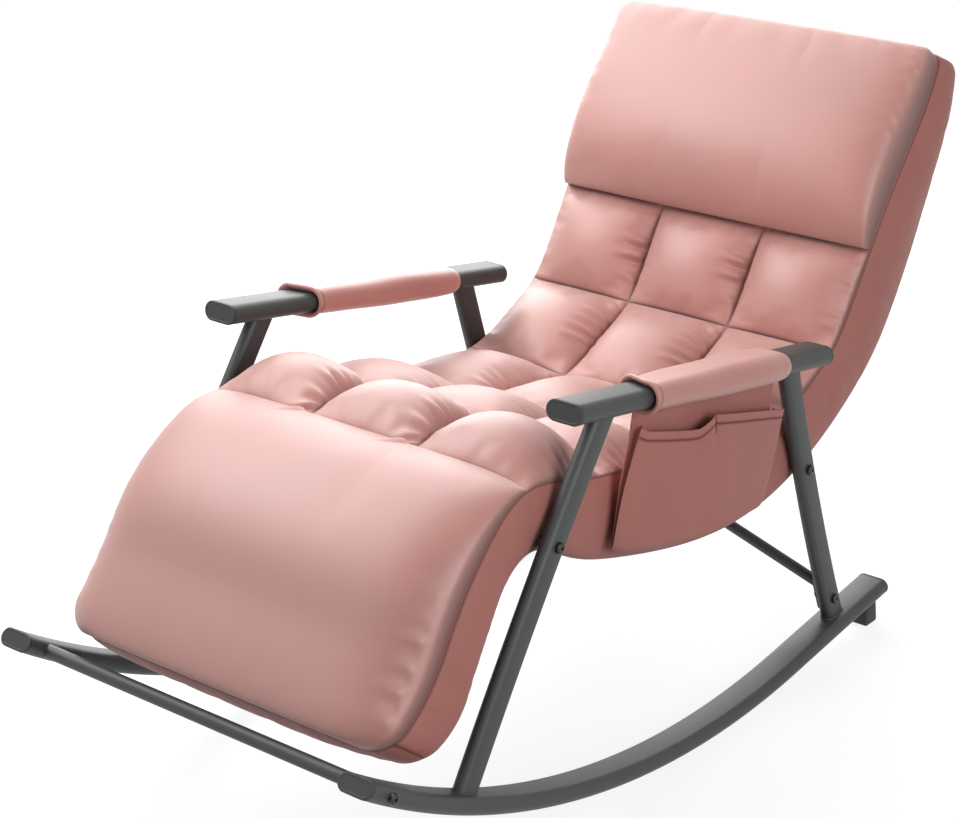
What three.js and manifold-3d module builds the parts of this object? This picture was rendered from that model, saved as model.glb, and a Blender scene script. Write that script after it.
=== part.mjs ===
// Lounge rocking chair: an S-shaped tufted seat on a frame of flat oval steel tube with curved runners.
// Millimetres, +Z up. The sitter faces -Y, +X is the sitter's left and the floor is at z = 0.
import * as THREE from 'three';
import { mergeVertices } from 'three/addons/utils/BufferGeometryUtils.js';
import Module from 'manifold-3d';

const wasm = await Module();
wasm.setup();

// Clearances and facets that many pieces share
const fitGap = 0.3; // air between pieces that touch
const cutOverrun = 3; // how far a cutting tool passes what it cuts
const ovalArcSteps = 2; // facets in a quarter of a tube's round edge
const roundFacets = 12; // facets round bolts, bushes and small tubes
const hexagonFacets = 6;
const legFacets = 6; // along a leg
const braceFacets = 26; // along the rear brace
const searchHalvings = 40;
const searchPlaces = 400; // tried along the seat to find what lies nearest

// Frame: two sides, one for each runner
const sideSpacing = 580; // between the middle planes of the two sides
const sideX = sideSpacing / 2;

// Runners of flat oval tube: an arc of straight facets, one of them flat on the floor, and a
// straight tail behind it
const runnerRadius = 1361; // of the tube's centre line
const runnerTail = 258;
const runnerWidth = 52;
const runnerHeight = 25;
const runnerWall = 1.2;
const runnerFacetAngle = THREE.MathUtils.degToRad(2.79);
const runnerFacetsAhead = 12; // ahead of the facet on the floor
const runnerFacetsBehind = 2;

// Legs: each bows forward by a few millimetres between runner and arm
const legWidth = 20; // across the chair
const legDepth = 40; // front to back
const legWall = 1.2;
const frontFootY = -589;
const frontHeadY = -300;
const frontLegBow = 6;
const rearFootY = 306;
const rearHeadY = 131;
const rearLegBow = 8;

// Arms, straight tubes that fall to the rear
const armWidth = 55;
const armHeight = 28;
const armWall = 1.2;
const armLength = 600;
const armRearY = 208; // the rear end stays clear of the back cushion
const armRearZ = 496;
const armFall = THREE.MathUtils.degToRad(9.4);

// Plug-in caps for runner and arm ends
const capThickness = 4;
const capEdge = 1.4; // bevel round the cap's face
const capPlugDepth = 8;

// Sleeves on the arms and the pocket under the left one, measured along and below the arm
const sleeveThickness = 5.5;
const sleeveLength = 348;
const sleeveRearInset = 100; // from the arm's rear end, ahead of the rear leg
const sleeveStart = armLength - sleeveRearInset - sleeveLength; // from the arm's front end
const pocketLength = 353;
const pocketSheet = 1.6;
const pocketRoom = 16; // inside, between back and front panel
const pocketBackInset = 6; // the back panel hangs this far inside the side's middle plane
const pocketBottomFront = 195; // below the arm's centre line
const pocketBottomRear = 215;
const pocketMouthFront = 39;
const pocketMouthSag = 66;
const pocketMouthStep = 50;
const pocketMouthRear = 62;
const pocketSagShare = 0.4;
const pocketDividerShare = 0.5;

// Cross tube between the runners' front ends, and its screws
const crossTubeDiameter = 19;
const crossTubeWall = 1.5;
const crossTubeInset = 38; // from the runner's front end, along the runner
const crossInsertLength = 40; // threaded inserts in the cross tube's ends
const crossScrewDiameter = 8;
const crossScrewReach = 30; // past the runner, into the insert

// Rear brace, bowed up between the rear legs, with an end plate on each leg
const braceFootHeight = 109; // where the tube meets the leg, above the floor
const braceDepth = 14;
const braceHeight = 26;
const braceBoreWidth = 4;
const braceBoreHeight = 18;
const braceRise = 106;
const braceShoulder = 62; // where the slopes meet the level middle, from the chair's middle
const braceBendRun = 36; // half length of the bend at a shoulder
const braceGroove = 3.2;
const braceGrooveHalfHeight = 3;
const braceGrooveUp = 3.5; // above the tube's middle
const plateThickness = 3;
const plateDepth = 26;
const plateBelow = 46;
const plateAbove = 18;
const plateVentRadius = 1.5;
const braceBoltDrop = 26; // below the tube's end, along the leg

// Bolts and nuts
const boltDiameter = 8;
const boltHeadDiameter = 15;
const boltHeadHeight = 5.5;
const socketDiameter = 6;
const socketDepth = 3;
const nutWidth = 14.5;
const nutHeight = 6;
const boltTail = 2; // past the nut

// Stops under the runners' rear ends
const stopWidth = 34;
const stopDepth = 32;
const stopInset = 24; // from the runner's rear end, along the runner
const stopTopShare = 0.84; // of the width and depth, at the top

// Seat: side view of the top seam line and of the back face, foot first
const seatFrontY = -719;
const seatLift = 231; // lowest point above the floor
const seatDepth = 1325;
const seatHeight = 638;
const seatWidth = 548; // over the bulge of the sides
const seatFacets = 32; // straight facets along the run, shared by all that follows it
const topLineShares = [
  [0, 0.067], [0.033, 0.135], [0.063, 0.201], [0.092, 0.279], [0.145, 0.376], [0.217, 0.444],
  [0.307, 0.417], [0.398, 0.368], [0.528, 0.285], [0.639, 0.266], [0.703, 0.307], [0.761, 0.376],
  [0.798, 0.47], [0.83, 0.583], [0.869, 0.708], [0.928, 0.868], [0.955, 0.976],
];
const backLineShares = [
  [0.054, 0], [0.097, 0.033], [0.126, 0.108], [0.154, 0.192], [0.183, 0.262], [0.235, 0.284],
  [0.296, 0.219], [0.375, 0.157], [0.522, 0.088], [0.651, 0.101], [0.745, 0.188], [0.818, 0.296],
  [0.869, 0.4], [0.925, 0.53], [0.972, 0.677], [0.998, 0.815], [1, 0.94],
];
const kneeSeamShare = 5 / 16; // where the leg rest meets the seat, along both lines
const crotchSeamShare = 9 / 16; // where the seat meets the back
const headSeamShare = 13 / 16;

// Under cover: a trough of cloth-covered board that holds the seat frame, open on top
const coverHeight = 50;
const coverFloor = 2.5;
const coverWall = 7;
const coverEndShare = 0.006; // end wall, of the seat's run
const coverInset = 4; // the cover is this much narrower than the cushions' bulge, each side

// Seat frame inside the cover
const seatTubeDiameter = 20;
const seatTubeWall = 1.5;
const seatTubeEndShare = 0.02; // clear of the seat's ends, of its run
const seatCrossDiameter = 16;
const seatCrossShares = [0.035, 0.3, 0.53, 0.76, 0.965];
const bushDiameter = 17;
const strapThickness = 2;
const strapRunShare = 0.034; // half the strap's width, of the seat's run
const strapShares = [0.12, 0.22, 0.4, 0.48, 0.65, 0.86];
const foamEndShare = 0.012;

// Cushions on the foam, joined at sewn seams
const cushionGapShare = 0.0003; // half the gap at a seam, of the seat's run
const cushionSeamInset = 7; // the top seam's distance inside the bulge, each side
const headSpread = 13; // the top end is this much wider than the seat, each side
const channelDepth = 5; // of the sewn channels between the tufts
const tuftCrown = 29;
const legRestCrown = 30;
const headCrown = 76;
const tuftColumns = 3;
const tuftPower = 0.62; // lower is squarer
const panelPower = 0.42;
const headPower = 0.26;
const tuftRowShares = [0, 0.05, 0.16, 0.32, 0.5, 0.68, 0.84, 0.95];
const tuftColumnShares = [0, 0.08, 0.27, 0.5, 0.73, 0.92];
const panelRowShares = [0, 0.02, 0.07, 0.16, 0.3, 0.46, 0.62, 0.76, 0.87, 0.94, 0.98];
const panelColumnShares = [0, 0.025, 0.09, 0.2, 0.35, 0.5, 0.65, 0.8, 0.91, 0.975];

// Finishes
const leather = new THREE.MeshStandardMaterial({ color: 0xd9a59c, roughness: 0.5, metalness: 0 });
const coverCloth = new THREE.MeshStandardMaterial({ color: 0xb27a72, roughness: 0.7, metalness: 0 });
const paintedSteel = new THREE.MeshStandardMaterial({ color: 0x535656, roughness: 0.42, metalness: 0.4 });
const capPlastic = new THREE.MeshStandardMaterial({ color: 0x3f4242, roughness: 0.6, metalness: 0 });
const boltSteel = new THREE.MeshStandardMaterial({ color: 0x2c2e2f, roughness: 0.35, metalness: 0.7 });
const stopRubber = new THREE.MeshStandardMaterial({ color: 0x333536, roughness: 0.8, metalness: 0 });
const bareSteel = new THREE.MeshStandardMaterial({ color: 0x8a8d8f, roughness: 0.45, metalness: 0.8 });
const webbing = new THREE.MeshStandardMaterial({ color: 0x26282a, roughness: 0.9, metalness: 0 });
const foam = new THREE.MeshStandardMaterial({ color: 0xe9dfc4, roughness: 0.95, metalness: 0 });

const chair = new THREE.Group();
const sides = [{ side: 'left', sign: 1 }, { side: 'right', sign: -1 }];

function addPiece(name, geometry, material, parent = chair) {
  const mesh = new THREE.Mesh(geometry, material);
  mesh.name = name;
  parent.add(mesh);
  return mesh;
}

// Solids for cutting and joining
function solidOf(geometry) {
  const bare = new THREE.BufferGeometry();
  bare.setAttribute('position', geometry.getAttribute('position').clone());
  if (geometry.index) bare.setIndex(geometry.index.clone());
  const merged = mergeVertices(bare);
  const mesh = new wasm.Mesh({
    numProp: 3,
    vertProperties: new Float32Array(merged.getAttribute('position').array),
    triVerts: new Uint32Array(merged.index.array),
  });
  return new wasm.Manifold(mesh);
}

function geometryOf(solid) {
  const mesh = solid.getMesh();
  const geometry = new THREE.BufferGeometry();
  geometry.setAttribute('position', new THREE.BufferAttribute(mesh.vertProperties, 3));
  geometry.setIndex(new THREE.BufferAttribute(mesh.triVerts, 1));
  geometry.computeVertexNormals();
  return geometry;
}

function cut(geometry, ...tools) {
  return geometryOf(tools.reduce((solid, tool) => solid.subtract(solidOf(tool)), solidOf(geometry)));
}

// Flat oval outline, or a circle where width and height are alike
function traceOval(path, width, height) {
  const radius = Math.min(width, height) / 2;
  const centreX = width / 2 - radius;
  const centreY = height / 2 - radius;
  const start = width >= height ? -Math.PI / 2 : 0;
  path.absarc(centreX, centreY, radius, start, start + Math.PI);
  path.absarc(-centreX, -centreY, radius, start + Math.PI, start + 2 * Math.PI);
  return path;
}

function ovalSection(width, height, wall) {
  const section = traceOval(new THREE.Shape(), width, height);
  if (wall) section.holes.push(traceOval(new THREE.Path(), width - 2 * wall, height - 2 * wall));
  return section;
}

function sweep(section, path, steps) {
  return new THREE.ExtrudeGeometry(section, {
    extrudePath: path,
    steps,
    curveSegments: ovalArcSteps,
    bevelEnabled: false,
  });
}

// A round bar or ring across the chair, between two distances from its middle plane
function crossRound(diameter, fromX, toX, at, bore = 0) {
  const inner = bore / 2;
  const outer = diameter / 2;
  const low = Math.min(fromX, toX);
  const high = Math.max(fromX, toX);
  const profile = [[inner, low], [outer, low], [outer, high], [inner, high], [inner, low]];
  const lathe = new THREE.LatheGeometry(profile.map(([r, h]) => new THREE.Vector2(r, h)), roundFacets);
  lathe.rotateZ(-Math.PI / 2);
  lathe.translate(0, at.y, at.z);
  return lathe;
}

// A curve in a plane beside the chair's middle plane. Its facets end at even steps of its parameter,
// so that pieces which follow the same line share their facets.
class SideCurve extends THREE.Curve {
  constructor(x, placeAt) {
    super();
    this.x = x;
    this.placeAt = placeAt;
  }

  getPoint(t, target = new THREE.Vector3()) {
    const place = this.placeAt(t);
    return target.set(this.x, place.y, place.z);
  }

  getPointAt(t, target) {
    return this.getPoint(t, target);
  }

  getTangentAt(t, target) {
    return this.getTangent(t, target);
  }
}

// Runners
const runnerFront = -(runnerFacetsAhead + 0.5) * runnerFacetAngle;
const runnerRear = (runnerFacetsBehind + 0.5) * runnerFacetAngle; // the slope of the tail
const runnerArcFacets = runnerFacetsAhead + 1 + runnerFacetsBehind;
const runnerFacets = runnerArcFacets + 1;
const runnerCentreZ = (runnerRadius + runnerHeight / 2) * Math.cos(runnerFacetAngle / 2);

function onRunnerArc(angle) {
  return {
    y: runnerRadius * Math.sin(angle),
    z: runnerCentreZ - runnerRadius * Math.cos(angle),
  };
}

function onRunnerTail(along) {
  const start = onRunnerArc(runnerRear);
  return {
    y: start.y + along * Math.cos(runnerRear),
    z: start.z + along * Math.sin(runnerRear),
  };
}

// The height of the runner's centre line above the floor
function runnerHeightAt(y) {
  const tail = onRunnerTail(0);
  if (y > tail.y) return tail.z + (y - tail.y) * Math.tan(runnerRear);
  return runnerCentreZ - Math.sqrt(runnerRadius ** 2 - y ** 2);
}

function runnerPath(sign) {
  const placeAt = (t) => {
    const station = t * runnerFacets;
    if (station > runnerArcFacets) return onRunnerTail((station - runnerArcFacets) * runnerTail);
    return onRunnerArc(THREE.MathUtils.lerp(runnerFront, runnerRear, station / runnerArcFacets));
  };
  return new SideCurve(sign * sideX, placeAt);
}

// The runner's full outline, grown by the fit gap, to cut what is welded to it
function runnerTool(sign) {
  const grown = ovalSection(runnerWidth + 2 * fitGap, runnerHeight + 2 * fitGap);
  return sweep(grown, runnerPath(sign), runnerFacets);
}

// Arms
const armDirection = new THREE.Vector3(0, Math.cos(armFall), -Math.sin(armFall));
const armFrontY = armRearY - armLength * armDirection.y;
const armFrontZ = armRearZ - armLength * armDirection.z;

function armPlace(along) {
  return {
    y: armFrontY + along * armDirection.y,
    z: armFrontZ + along * armDirection.z,
  };
}

function armHeightAt(y) {
  return armFrontZ - (y - armFrontY) * Math.tan(armFall);
}

// A group whose +Z runs back along the arm and whose +Y points away from the floor
function armGroup(sign) {
  const group = new THREE.Group();
  group.position.set(sign * sideX, armFrontY, armFrontZ);
  group.rotation.x = -Math.PI / 2 - armFall;
  chair.add(group);
  return group;
}

function armTool(sign) {
  const section = ovalSection(armWidth + 2 * fitGap, armHeight + 2 * fitGap);
  const block = new THREE.ExtrudeGeometry(section, {
    depth: armLength,
    curveSegments: ovalArcSteps,
    bevelEnabled: false,
  });
  block.rotateX(-Math.PI / 2 - armFall);
  block.translate(sign * sideX, armFrontY, armFrontZ);
  return block;
}

// Legs
const frontLeg = {
  name: 'front',
  foot: { y: frontFootY, z: runnerHeightAt(frontFootY) },
  head: { y: frontHeadY, z: armHeightAt(frontHeadY) },
  bow: frontLegBow,
};
const rearLeg = {
  name: 'rear',
  foot: { y: rearFootY, z: runnerHeightAt(rearFootY) },
  head: { y: rearHeadY, z: armHeightAt(rearHeadY) },
  bow: rearLegBow,
};

function legCurve(leg, x) {
  const middleY = (leg.foot.y + leg.head.y) / 2 - 2 * leg.bow;
  const middleZ = (leg.foot.z + leg.head.z) / 2;
  return new THREE.QuadraticBezierCurve3(
    new THREE.Vector3(x, leg.foot.y, leg.foot.z),
    new THREE.Vector3(x, middleY, middleZ),
    new THREE.Vector3(x, leg.head.y, leg.head.z),
  );
}

// The share of a curve, from 0 to 1, where a rising test turns true
function shareWhere(test) {
  let low = 0;
  let high = 1;
  for (let round = 0; round < searchHalvings; round += 1) {
    const middle = (low + high) / 2;
    if (test(middle)) high = middle;
    else low = middle;
  }
  return high;
}

// Seat lines
function lineThrough(shares) {
  const points = shares.map(([y, z]) => {
    return new THREE.Vector3(0, seatFrontY + y * seatDepth, seatLift + z * seatHeight);
  });
  return new THREE.CatmullRomCurve3(points, false, 'centripetal');
}

const topLine = lineThrough(topLineShares);
const backLine = lineThrough(backLineShares);

// The seat's layers at each facet's end: square to the back face up to the cover's rim, and from
// there straight to the top seam line
const seatStations = [];
for (let i = 0; i <= seatFacets; i += 1) {
  const back = backLine.getPoint(i / seatFacets);
  const along = backLine.getTangent(i / seatFacets);
  const up = new THREE.Vector3(0, -along.z, along.y);
  const rim = back.clone().addScaledVector(up, coverHeight);
  const top = topLine.getPoint(i / seatFacets);
  seatStations.push({ back, up, rim, toSeam: top.clone().sub(rim).normalize(), seam: top.distanceTo(rim) });
}

function stationPlace(station, above) {
  if (above <= coverHeight) return station.back.clone().addScaledVector(station.up, above);
  return station.rim.clone().addScaledVector(station.toSeam, above - coverHeight);
}

function facetAt(run) {
  const index = Math.min(Math.floor(run * seatFacets), seatFacets - 1);
  return { low: seatStations[index], high: seatStations[index + 1], share: run * seatFacets - index };
}

// The place at a share of the seat's run, a distance above its back face
function seatPlace(run, above) {
  const { low, high, share } = facetAt(run);
  return stationPlace(low, above).lerp(stationPlace(high, above), share);
}

function seamHeight(run) {
  const { low, high, share } = facetAt(run);
  return coverHeight + THREE.MathUtils.lerp(low.seam, high.seam, share);
}

// The ends of a stretch of the run and the facets' ends between them, with extra places if given
function runStations(from, to, extra = []) {
  const tooNear = 0.1 / seatFacets;
  const inside = seatStations.map((station, i) => i / seatFacets).filter((run) => {
    return run > from + tooNear && run < to - tooNear;
  });
  const fixed = [from, ...inside, to];
  const added = extra.filter((run) => fixed.every((other) => Math.abs(other - run) > tooNear));
  return [...fixed, ...added].sort((a, b) => a - b);
}

// A band that follows the seat's side view, as wide as asked
function seatBand(fromRun, toRun, low, high, halfWidth) {
  const runs = runStations(fromRun, toRun);
  const outline = runs.map((run) => seatPlace(run, low));
  outline.push(...runs.reverse().map((run) => seatPlace(run, high)));
  const shape = new THREE.Shape(outline.map((place) => new THREE.Vector2(place.y, place.z)));
  const band = new THREE.ExtrudeGeometry(shape, { depth: 2 * halfWidth, bevelEnabled: false });
  const across = new THREE.Vector3(1, 0, 0);
  const back = new THREE.Vector3(0, 1, 0);
  const up = new THREE.Vector3(0, 0, 1);
  band.applyMatrix4(new THREE.Matrix4().makeBasis(back, up, across));
  band.translate(-halfWidth, 0, 0);
  return band;
}

// Seat frame places
const coverHalf = seatWidth / 2 - coverInset;
const seatTubeAbove = coverFloor + fitGap + seatTubeDiameter / 2;
const seatTubeX = coverHalf - coverWall - fitGap - seatTubeDiameter / 2;

// Where a leg crosses the seat's side tube, seen from the side: the seat bolt goes there
function seatCrossing(leg) {
  const curve = legCurve(leg, 0);
  const nearestRun = (place) => {
    let best = { run: 0, distance: Infinity };
    for (let i = 0; i <= searchPlaces; i += 1) {
      const run = i / searchPlaces;
      const distance = seatPlace(run, seatTubeAbove).distanceTo(place);
      if (distance < best.distance) best = { run, distance };
    }
    return best.run;
  };
  const isAbove = (t) => {
    const place = curve.getPoint(t);
    return place.z > seatPlace(nearestRun(place), seatTubeAbove).z;
  };
  return curve.getPoint(shareWhere(isAbove));
}

for (const leg of [frontLeg, rearLeg]) {
  leg.boltAt = seatCrossing(leg);
}

// Rear brace places, on the rear leg
const rearCurve = legCurve(rearLeg, 0);
const braceShare = shareWhere((t) => rearCurve.getPoint(t).z > braceFootHeight);
const braceFoot = rearCurve.getPoint(braceShare);
const braceAlong = rearCurve.getTangent(braceShare);
const braceLean = Math.atan2(-braceAlong.y, braceAlong.z);
const braceBoltAt = braceFoot.clone().addScaledVector(braceAlong, -braceBoltDrop);
const legInnerX = sideX - legWidth / 2;
const legOuterX = sideX + legWidth / 2;
const plateOuterX = legInnerX - fitGap;
const plateInnerX = plateOuterX - plateThickness;

// Cross tube place
const crossAngle = runnerFront + crossTubeInset / runnerRadius;
const crossAt = onRunnerArc(crossAngle);

// Runners, with a hole for the cross tube's screw
function buildRunner(name, sign) {
  const tube = sweep(ovalSection(runnerWidth, runnerHeight, runnerWall), runnerPath(sign), runnerFacets);
  const inner = sign * (sideX - runnerWidth / 2 - cutOverrun);
  const outer = sign * (sideX + runnerWidth / 2 + cutOverrun);
  const screwHole = crossRound(crossScrewDiameter + 2 * fitGap, inner, outer, crossAt);
  addPiece(`runner_${name}`, cut(tube, screwHole), paintedSteel);
}

// A cap: a bevelled face as wide as the tube, and a plug that fits its bore. Its face looks to -Z.
function capGeometry(width, height, wall) {
  const face = new THREE.ExtrudeGeometry(ovalSection(width - 2 * capEdge, height - 2 * capEdge), {
    depth: capThickness - 2 * capEdge,
    bevelThickness: capEdge,
    bevelSize: capEdge,
    bevelSegments: 1,
    curveSegments: ovalArcSteps,
  });
  face.translate(0, 0, capEdge - capThickness - fitGap);
  const bore = 2 * (wall + fitGap);
  const plug = new THREE.ExtrudeGeometry(ovalSection(width - bore, height - bore), {
    depth: capPlugDepth + capThickness / 2,
    curveSegments: ovalArcSteps,
    bevelEnabled: false,
  });
  plug.translate(0, 0, -capThickness / 2);
  return geometryOf(solidOf(face).add(solidOf(plug)));
}

function buildRunnerCaps(name, sign) {
  const ends = [
    { end: 'front', place: onRunnerArc(runnerFront), turn: -Math.PI / 2 + runnerFront },
    { end: 'rear', place: onRunnerTail(runnerTail), turn: Math.PI / 2 + runnerRear },
  ];
  for (const { end, place, turn } of ends) {
    const geometry = capGeometry(runnerWidth, runnerHeight, runnerWall);
    const cap = addPiece(`runner_cap_${end}_${name}`, geometry, capPlastic);
    cap.position.set(sign * sideX, place.y, place.z);
    cap.rotation.x = turn;
  }
}

// A leg, cut to lie on its runner and under its arm, with holes for the bolts through it
function buildLeg(leg, name, sign) {
  const section = ovalSection(legWidth, legDepth, legWall);
  const tube = sweep(section, legCurve(leg, sign * sideX), legFacets);
  const inner = sign * (legInnerX - cutOverrun);
  const outer = sign * (legOuterX + cutOverrun);
  const holes = [crossRound(boltDiameter + 2 * fitGap, inner, outer, leg.boltAt)];
  if (leg === rearLeg) holes.push(crossRound(boltDiameter + 2 * fitGap, inner, outer, braceBoltAt));
  const geometry = cut(tube, runnerTool(sign), armTool(sign), ...holes);
  addPiece(`${leg.name}_leg_${name}`, geometry, paintedSteel);
}

// A bolt with a round head and a hexagon socket; its head lies on the leg's outer face
function boltGeometry(sign, headX, tipX, diameter, at) {
  const headEnd = headX + boltHeadHeight;
  const head = solidOf(crossRound(boltHeadDiameter, sign * headX, sign * headEnd, at));
  const shank = solidOf(crossRound(diameter, sign * tipX, sign * (headX + boltHeadHeight / 2), at));
  const socketRadius = socketDiameter / 2;
  const socket = new THREE.CylinderGeometry(socketRadius, socketRadius, 2 * socketDepth, hexagonFacets);
  socket.rotateZ(Math.PI / 2);
  socket.translate(sign * headEnd, at.y, at.z);
  return geometryOf(head.add(shank).subtract(solidOf(socket)));
}

function buildSeatBolt(leg, name, sign) {
  const headX = legOuterX + fitGap;
  const bushOuter = legInnerX - fitGap;
  const bushInner = seatTubeX + seatTubeDiameter / 2 + fitGap;
  const tipX = bushInner + fitGap;
  const bolt = boltGeometry(sign, headX, tipX, boltDiameter, leg.boltAt);
  addPiece(`seat_bolt_${leg.name}_${name}`, bolt, boltSteel);
  const bore = boltDiameter + 2 * fitGap;
  const bush = crossRound(bushDiameter, sign * bushInner, sign * bushOuter, leg.boltAt, bore);
  addPiece(`seat_bush_${leg.name}_${name}`, bush, bareSteel);
}

// Arm tube with its two caps and its sleeve, in the arm's own group
function buildArm(name, sign) {
  const group = armGroup(sign);
  const tube = new THREE.ExtrudeGeometry(ovalSection(armWidth, armHeight, armWall), {
    depth: armLength,
    curveSegments: ovalArcSteps,
    bevelEnabled: false,
  });
  addPiece(`arm_${name}`, tube, paintedSteel, group);
  const cap = capGeometry(armWidth, armHeight, armWall);
  addPiece(`arm_cap_front_${name}`, cap, capPlastic, group);
  const rearCap = addPiece(`arm_cap_rear_${name}`, cap.clone(), capPlastic, group);
  rearCap.position.z = armLength;
  rearCap.rotation.y = Math.PI;
  const grow = 2 * (fitGap + sleeveThickness);
  const sleeveSection = ovalSection(armWidth + grow, armHeight + grow, sleeveThickness);
  const sleeve = new THREE.ExtrudeGeometry(sleeveSection, {
    depth: sleeveLength,
    curveSegments: ovalArcSteps,
    bevelEnabled: false,
  });
  const sleeveMesh = addPiece(`arm_sleeve_${name}`, sleeve, leather, group);
  sleeveMesh.position.z = sleeveStart;
}

const pocketTop = armHeight / 2 + fitGap + sleeveThickness + fitGap;

// A panel or block beside the arm. Its outline is measured along the arm from the sleeve's front
// end, and square to the arm below its centre line.
function pocketSolid(outline, fromX, toX) {
  const places = outline.map(([along, below]) => {
    const onArm = armPlace(sleeveStart + along);
    return new THREE.Vector2(
      onArm.y - below * Math.sin(armFall),
      onArm.z - below * Math.cos(armFall),
    );
  });
  const panel = new THREE.ExtrudeGeometry(new THREE.Shape(places), {
    depth: toX - fromX,
    bevelEnabled: false,
  });
  const across = new THREE.Vector3(1, 0, 0);
  const back = new THREE.Vector3(0, 1, 0);
  const up = new THREE.Vector3(0, 0, 1);
  panel.applyMatrix4(new THREE.Matrix4().makeBasis(back, up, across));
  panel.translate(fromX, 0, 0);
  return panel;
}

function buildPocket() {
  const backX = sideX - pocketBackInset;
  const bagX = backX + pocketSheet + fitGap;
  const roomX = bagX + pocketRoom;
  const frontX = roomX + pocketSheet;
  const bottomAt = (along) => {
    return THREE.MathUtils.lerp(pocketBottomFront, pocketBottomRear, along / pocketLength);
  };
  const hemEnd = Math.min(pocketLength, sleeveLength);
  const backOutline = [
    [0, pocketTop], [hemEnd, pocketTop], [pocketLength, pocketMouthRear],
    [pocketLength, pocketBottomRear], [0, pocketBottomFront],
  ];
  addPiece('pocket_back_panel', pocketSolid(backOutline, backX, backX + pocketSheet), leather);

  const dividerAt = pocketDividerShare * pocketLength;
  const bagOutline = [
    [0, pocketMouthFront], [pocketSagShare * pocketLength, pocketMouthSag],
    [dividerAt, pocketMouthStep], [pocketLength, pocketMouthRear],
    [pocketLength, pocketBottomRear], [0, pocketBottomFront],
  ];
  const bag = pocketSolid(bagOutline, bagX, frontX);
  const rooms = [
    [pocketSheet, dividerAt - pocketSheet / 2],
    [dividerAt + pocketSheet / 2, pocketLength - pocketSheet],
  ].map(([start, end]) => {
    const outline = [
      [start, 0], [end, 0],
      [end, bottomAt(end) - pocketSheet], [start, bottomAt(start) - pocketSheet],
    ];
    return pocketSolid(outline, bagX - cutOverrun, roomX);
  });
  addPiece('pocket_bag', cut(bag, ...rooms), leather);
}

// Cross tube between the runners, with a threaded insert and a screw at each end
function buildCrossTube() {
  const runnerInnerX = sideX - runnerWidth / 2;
  const reach = sideX - runnerHeight / 2;
  const bore = crossTubeDiameter - 2 * crossTubeWall;
  const tube = crossRound(crossTubeDiameter, -reach, reach, crossAt, bore);
  addPiece('front_cross_tube', cut(tube, runnerTool(1), runnerTool(-1)), paintedSteel);
  for (const { side, sign } of sides) {
    const outer = sign * (runnerInnerX - fitGap);
    const inner = sign * (runnerInnerX - crossInsertLength);
    const thread = crossScrewDiameter + 2 * fitGap;
    const insert = crossRound(bore - 2 * fitGap, inner, outer, crossAt, thread);
    addPiece(`cross_tube_insert_${side}`, insert, bareSteel);
    const headX = sideX + runnerWidth / 2 + fitGap;
    const tipX = runnerInnerX - crossScrewReach;
    const screw = boltGeometry(sign, headX, tipX, crossScrewDiameter, crossAt);
    addPiece(`cross_tube_screw_${side}`, screw, boltSteel);
  }
}

// Brace section: a flat oval on edge with a pressed groove along its front face
function braceSection() {
  const half = braceDepth / 2;
  const flat = braceHeight / 2 - half;
  const section = new THREE.Shape();
  section.moveTo(half, -flat);
  section.lineTo(half, braceGrooveUp - braceGrooveHalfHeight);
  section.lineTo(half - braceGroove, braceGrooveUp);
  section.lineTo(half, Math.min(flat, braceGrooveUp + braceGrooveHalfHeight));
  section.absarc(0, flat, half, 0, Math.PI);
  section.absarc(0, -flat, half, Math.PI, 2 * Math.PI);
  const bore = traceOval(new THREE.Path(), braceBoreWidth, braceBoreHeight);
  section.holes.push(bore);
  return section;
}

function bracePath() {
  const end = plateInnerX + plateThickness / 2;
  const slopeRun = end - braceShoulder;
  const bendShare = braceBendRun / slopeRun;
  const slopeX = braceShoulder + braceBendRun;
  const slopeZ = braceRise * (1 - bendShare);
  const levelX = braceShoulder - braceBendRun;
  const corner = (sign) => new THREE.Vector3(sign * braceShoulder, 0, braceRise);
  const onSlope = (sign) => new THREE.Vector3(sign * slopeX, 0, slopeZ);
  const onLevel = (sign) => new THREE.Vector3(sign * levelX, 0, braceRise);
  const path = new THREE.CurvePath();
  path.add(new THREE.LineCurve3(new THREE.Vector3(end, 0, 0), onSlope(1)));
  path.add(new THREE.QuadraticBezierCurve3(onSlope(1), corner(1), onLevel(1)));
  path.add(new THREE.LineCurve3(onLevel(1), onLevel(-1)));
  path.add(new THREE.QuadraticBezierCurve3(onLevel(-1), corner(-1), onSlope(-1)));
  path.add(new THREE.LineCurve3(onSlope(-1), new THREE.Vector3(-end, 0, 0)));
  return path;
}

// The brace is built upright at its foot and leans with the rear legs
function buildBrace() {
  let solid = solidOf(sweep(braceSection(), bracePath(), braceFacets));
  for (const { sign } of sides) {
    const plate = new THREE.BoxGeometry(plateThickness, plateDepth, plateBelow + plateAbove);
    const plateX = sign * (plateInnerX + plateOuterX) / 2;
    plate.translate(plateX, 0, (plateAbove - plateBelow) / 2);
    const tubeEnd = new THREE.BoxGeometry(legWidth, plateDepth, plateBelow + plateAbove);
    tubeEnd.translate(sign * (plateOuterX + legWidth / 2), 0, 0);
    const inner = sign * (plateInnerX - cutOverrun);
    const outer = sign * (plateOuterX + cutOverrun);
    const boltPlace = { y: 0, z: -braceBoltDrop };
    const hole = crossRound(boltDiameter + 2 * fitGap, inner, outer, boltPlace);
    const vent = crossRound(2 * plateVentRadius, inner, outer, { y: 0, z: 0 });
    solid = solid.add(solidOf(plate)).subtract(solidOf(tubeEnd));
    solid = solid.subtract(solidOf(hole)).subtract(solidOf(vent));
  }
  const brace = addPiece('rear_brace', geometryOf(solid), paintedSteel);
  brace.position.set(0, braceFoot.y, braceFoot.z);
  brace.rotation.x = braceLean;
}

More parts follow.
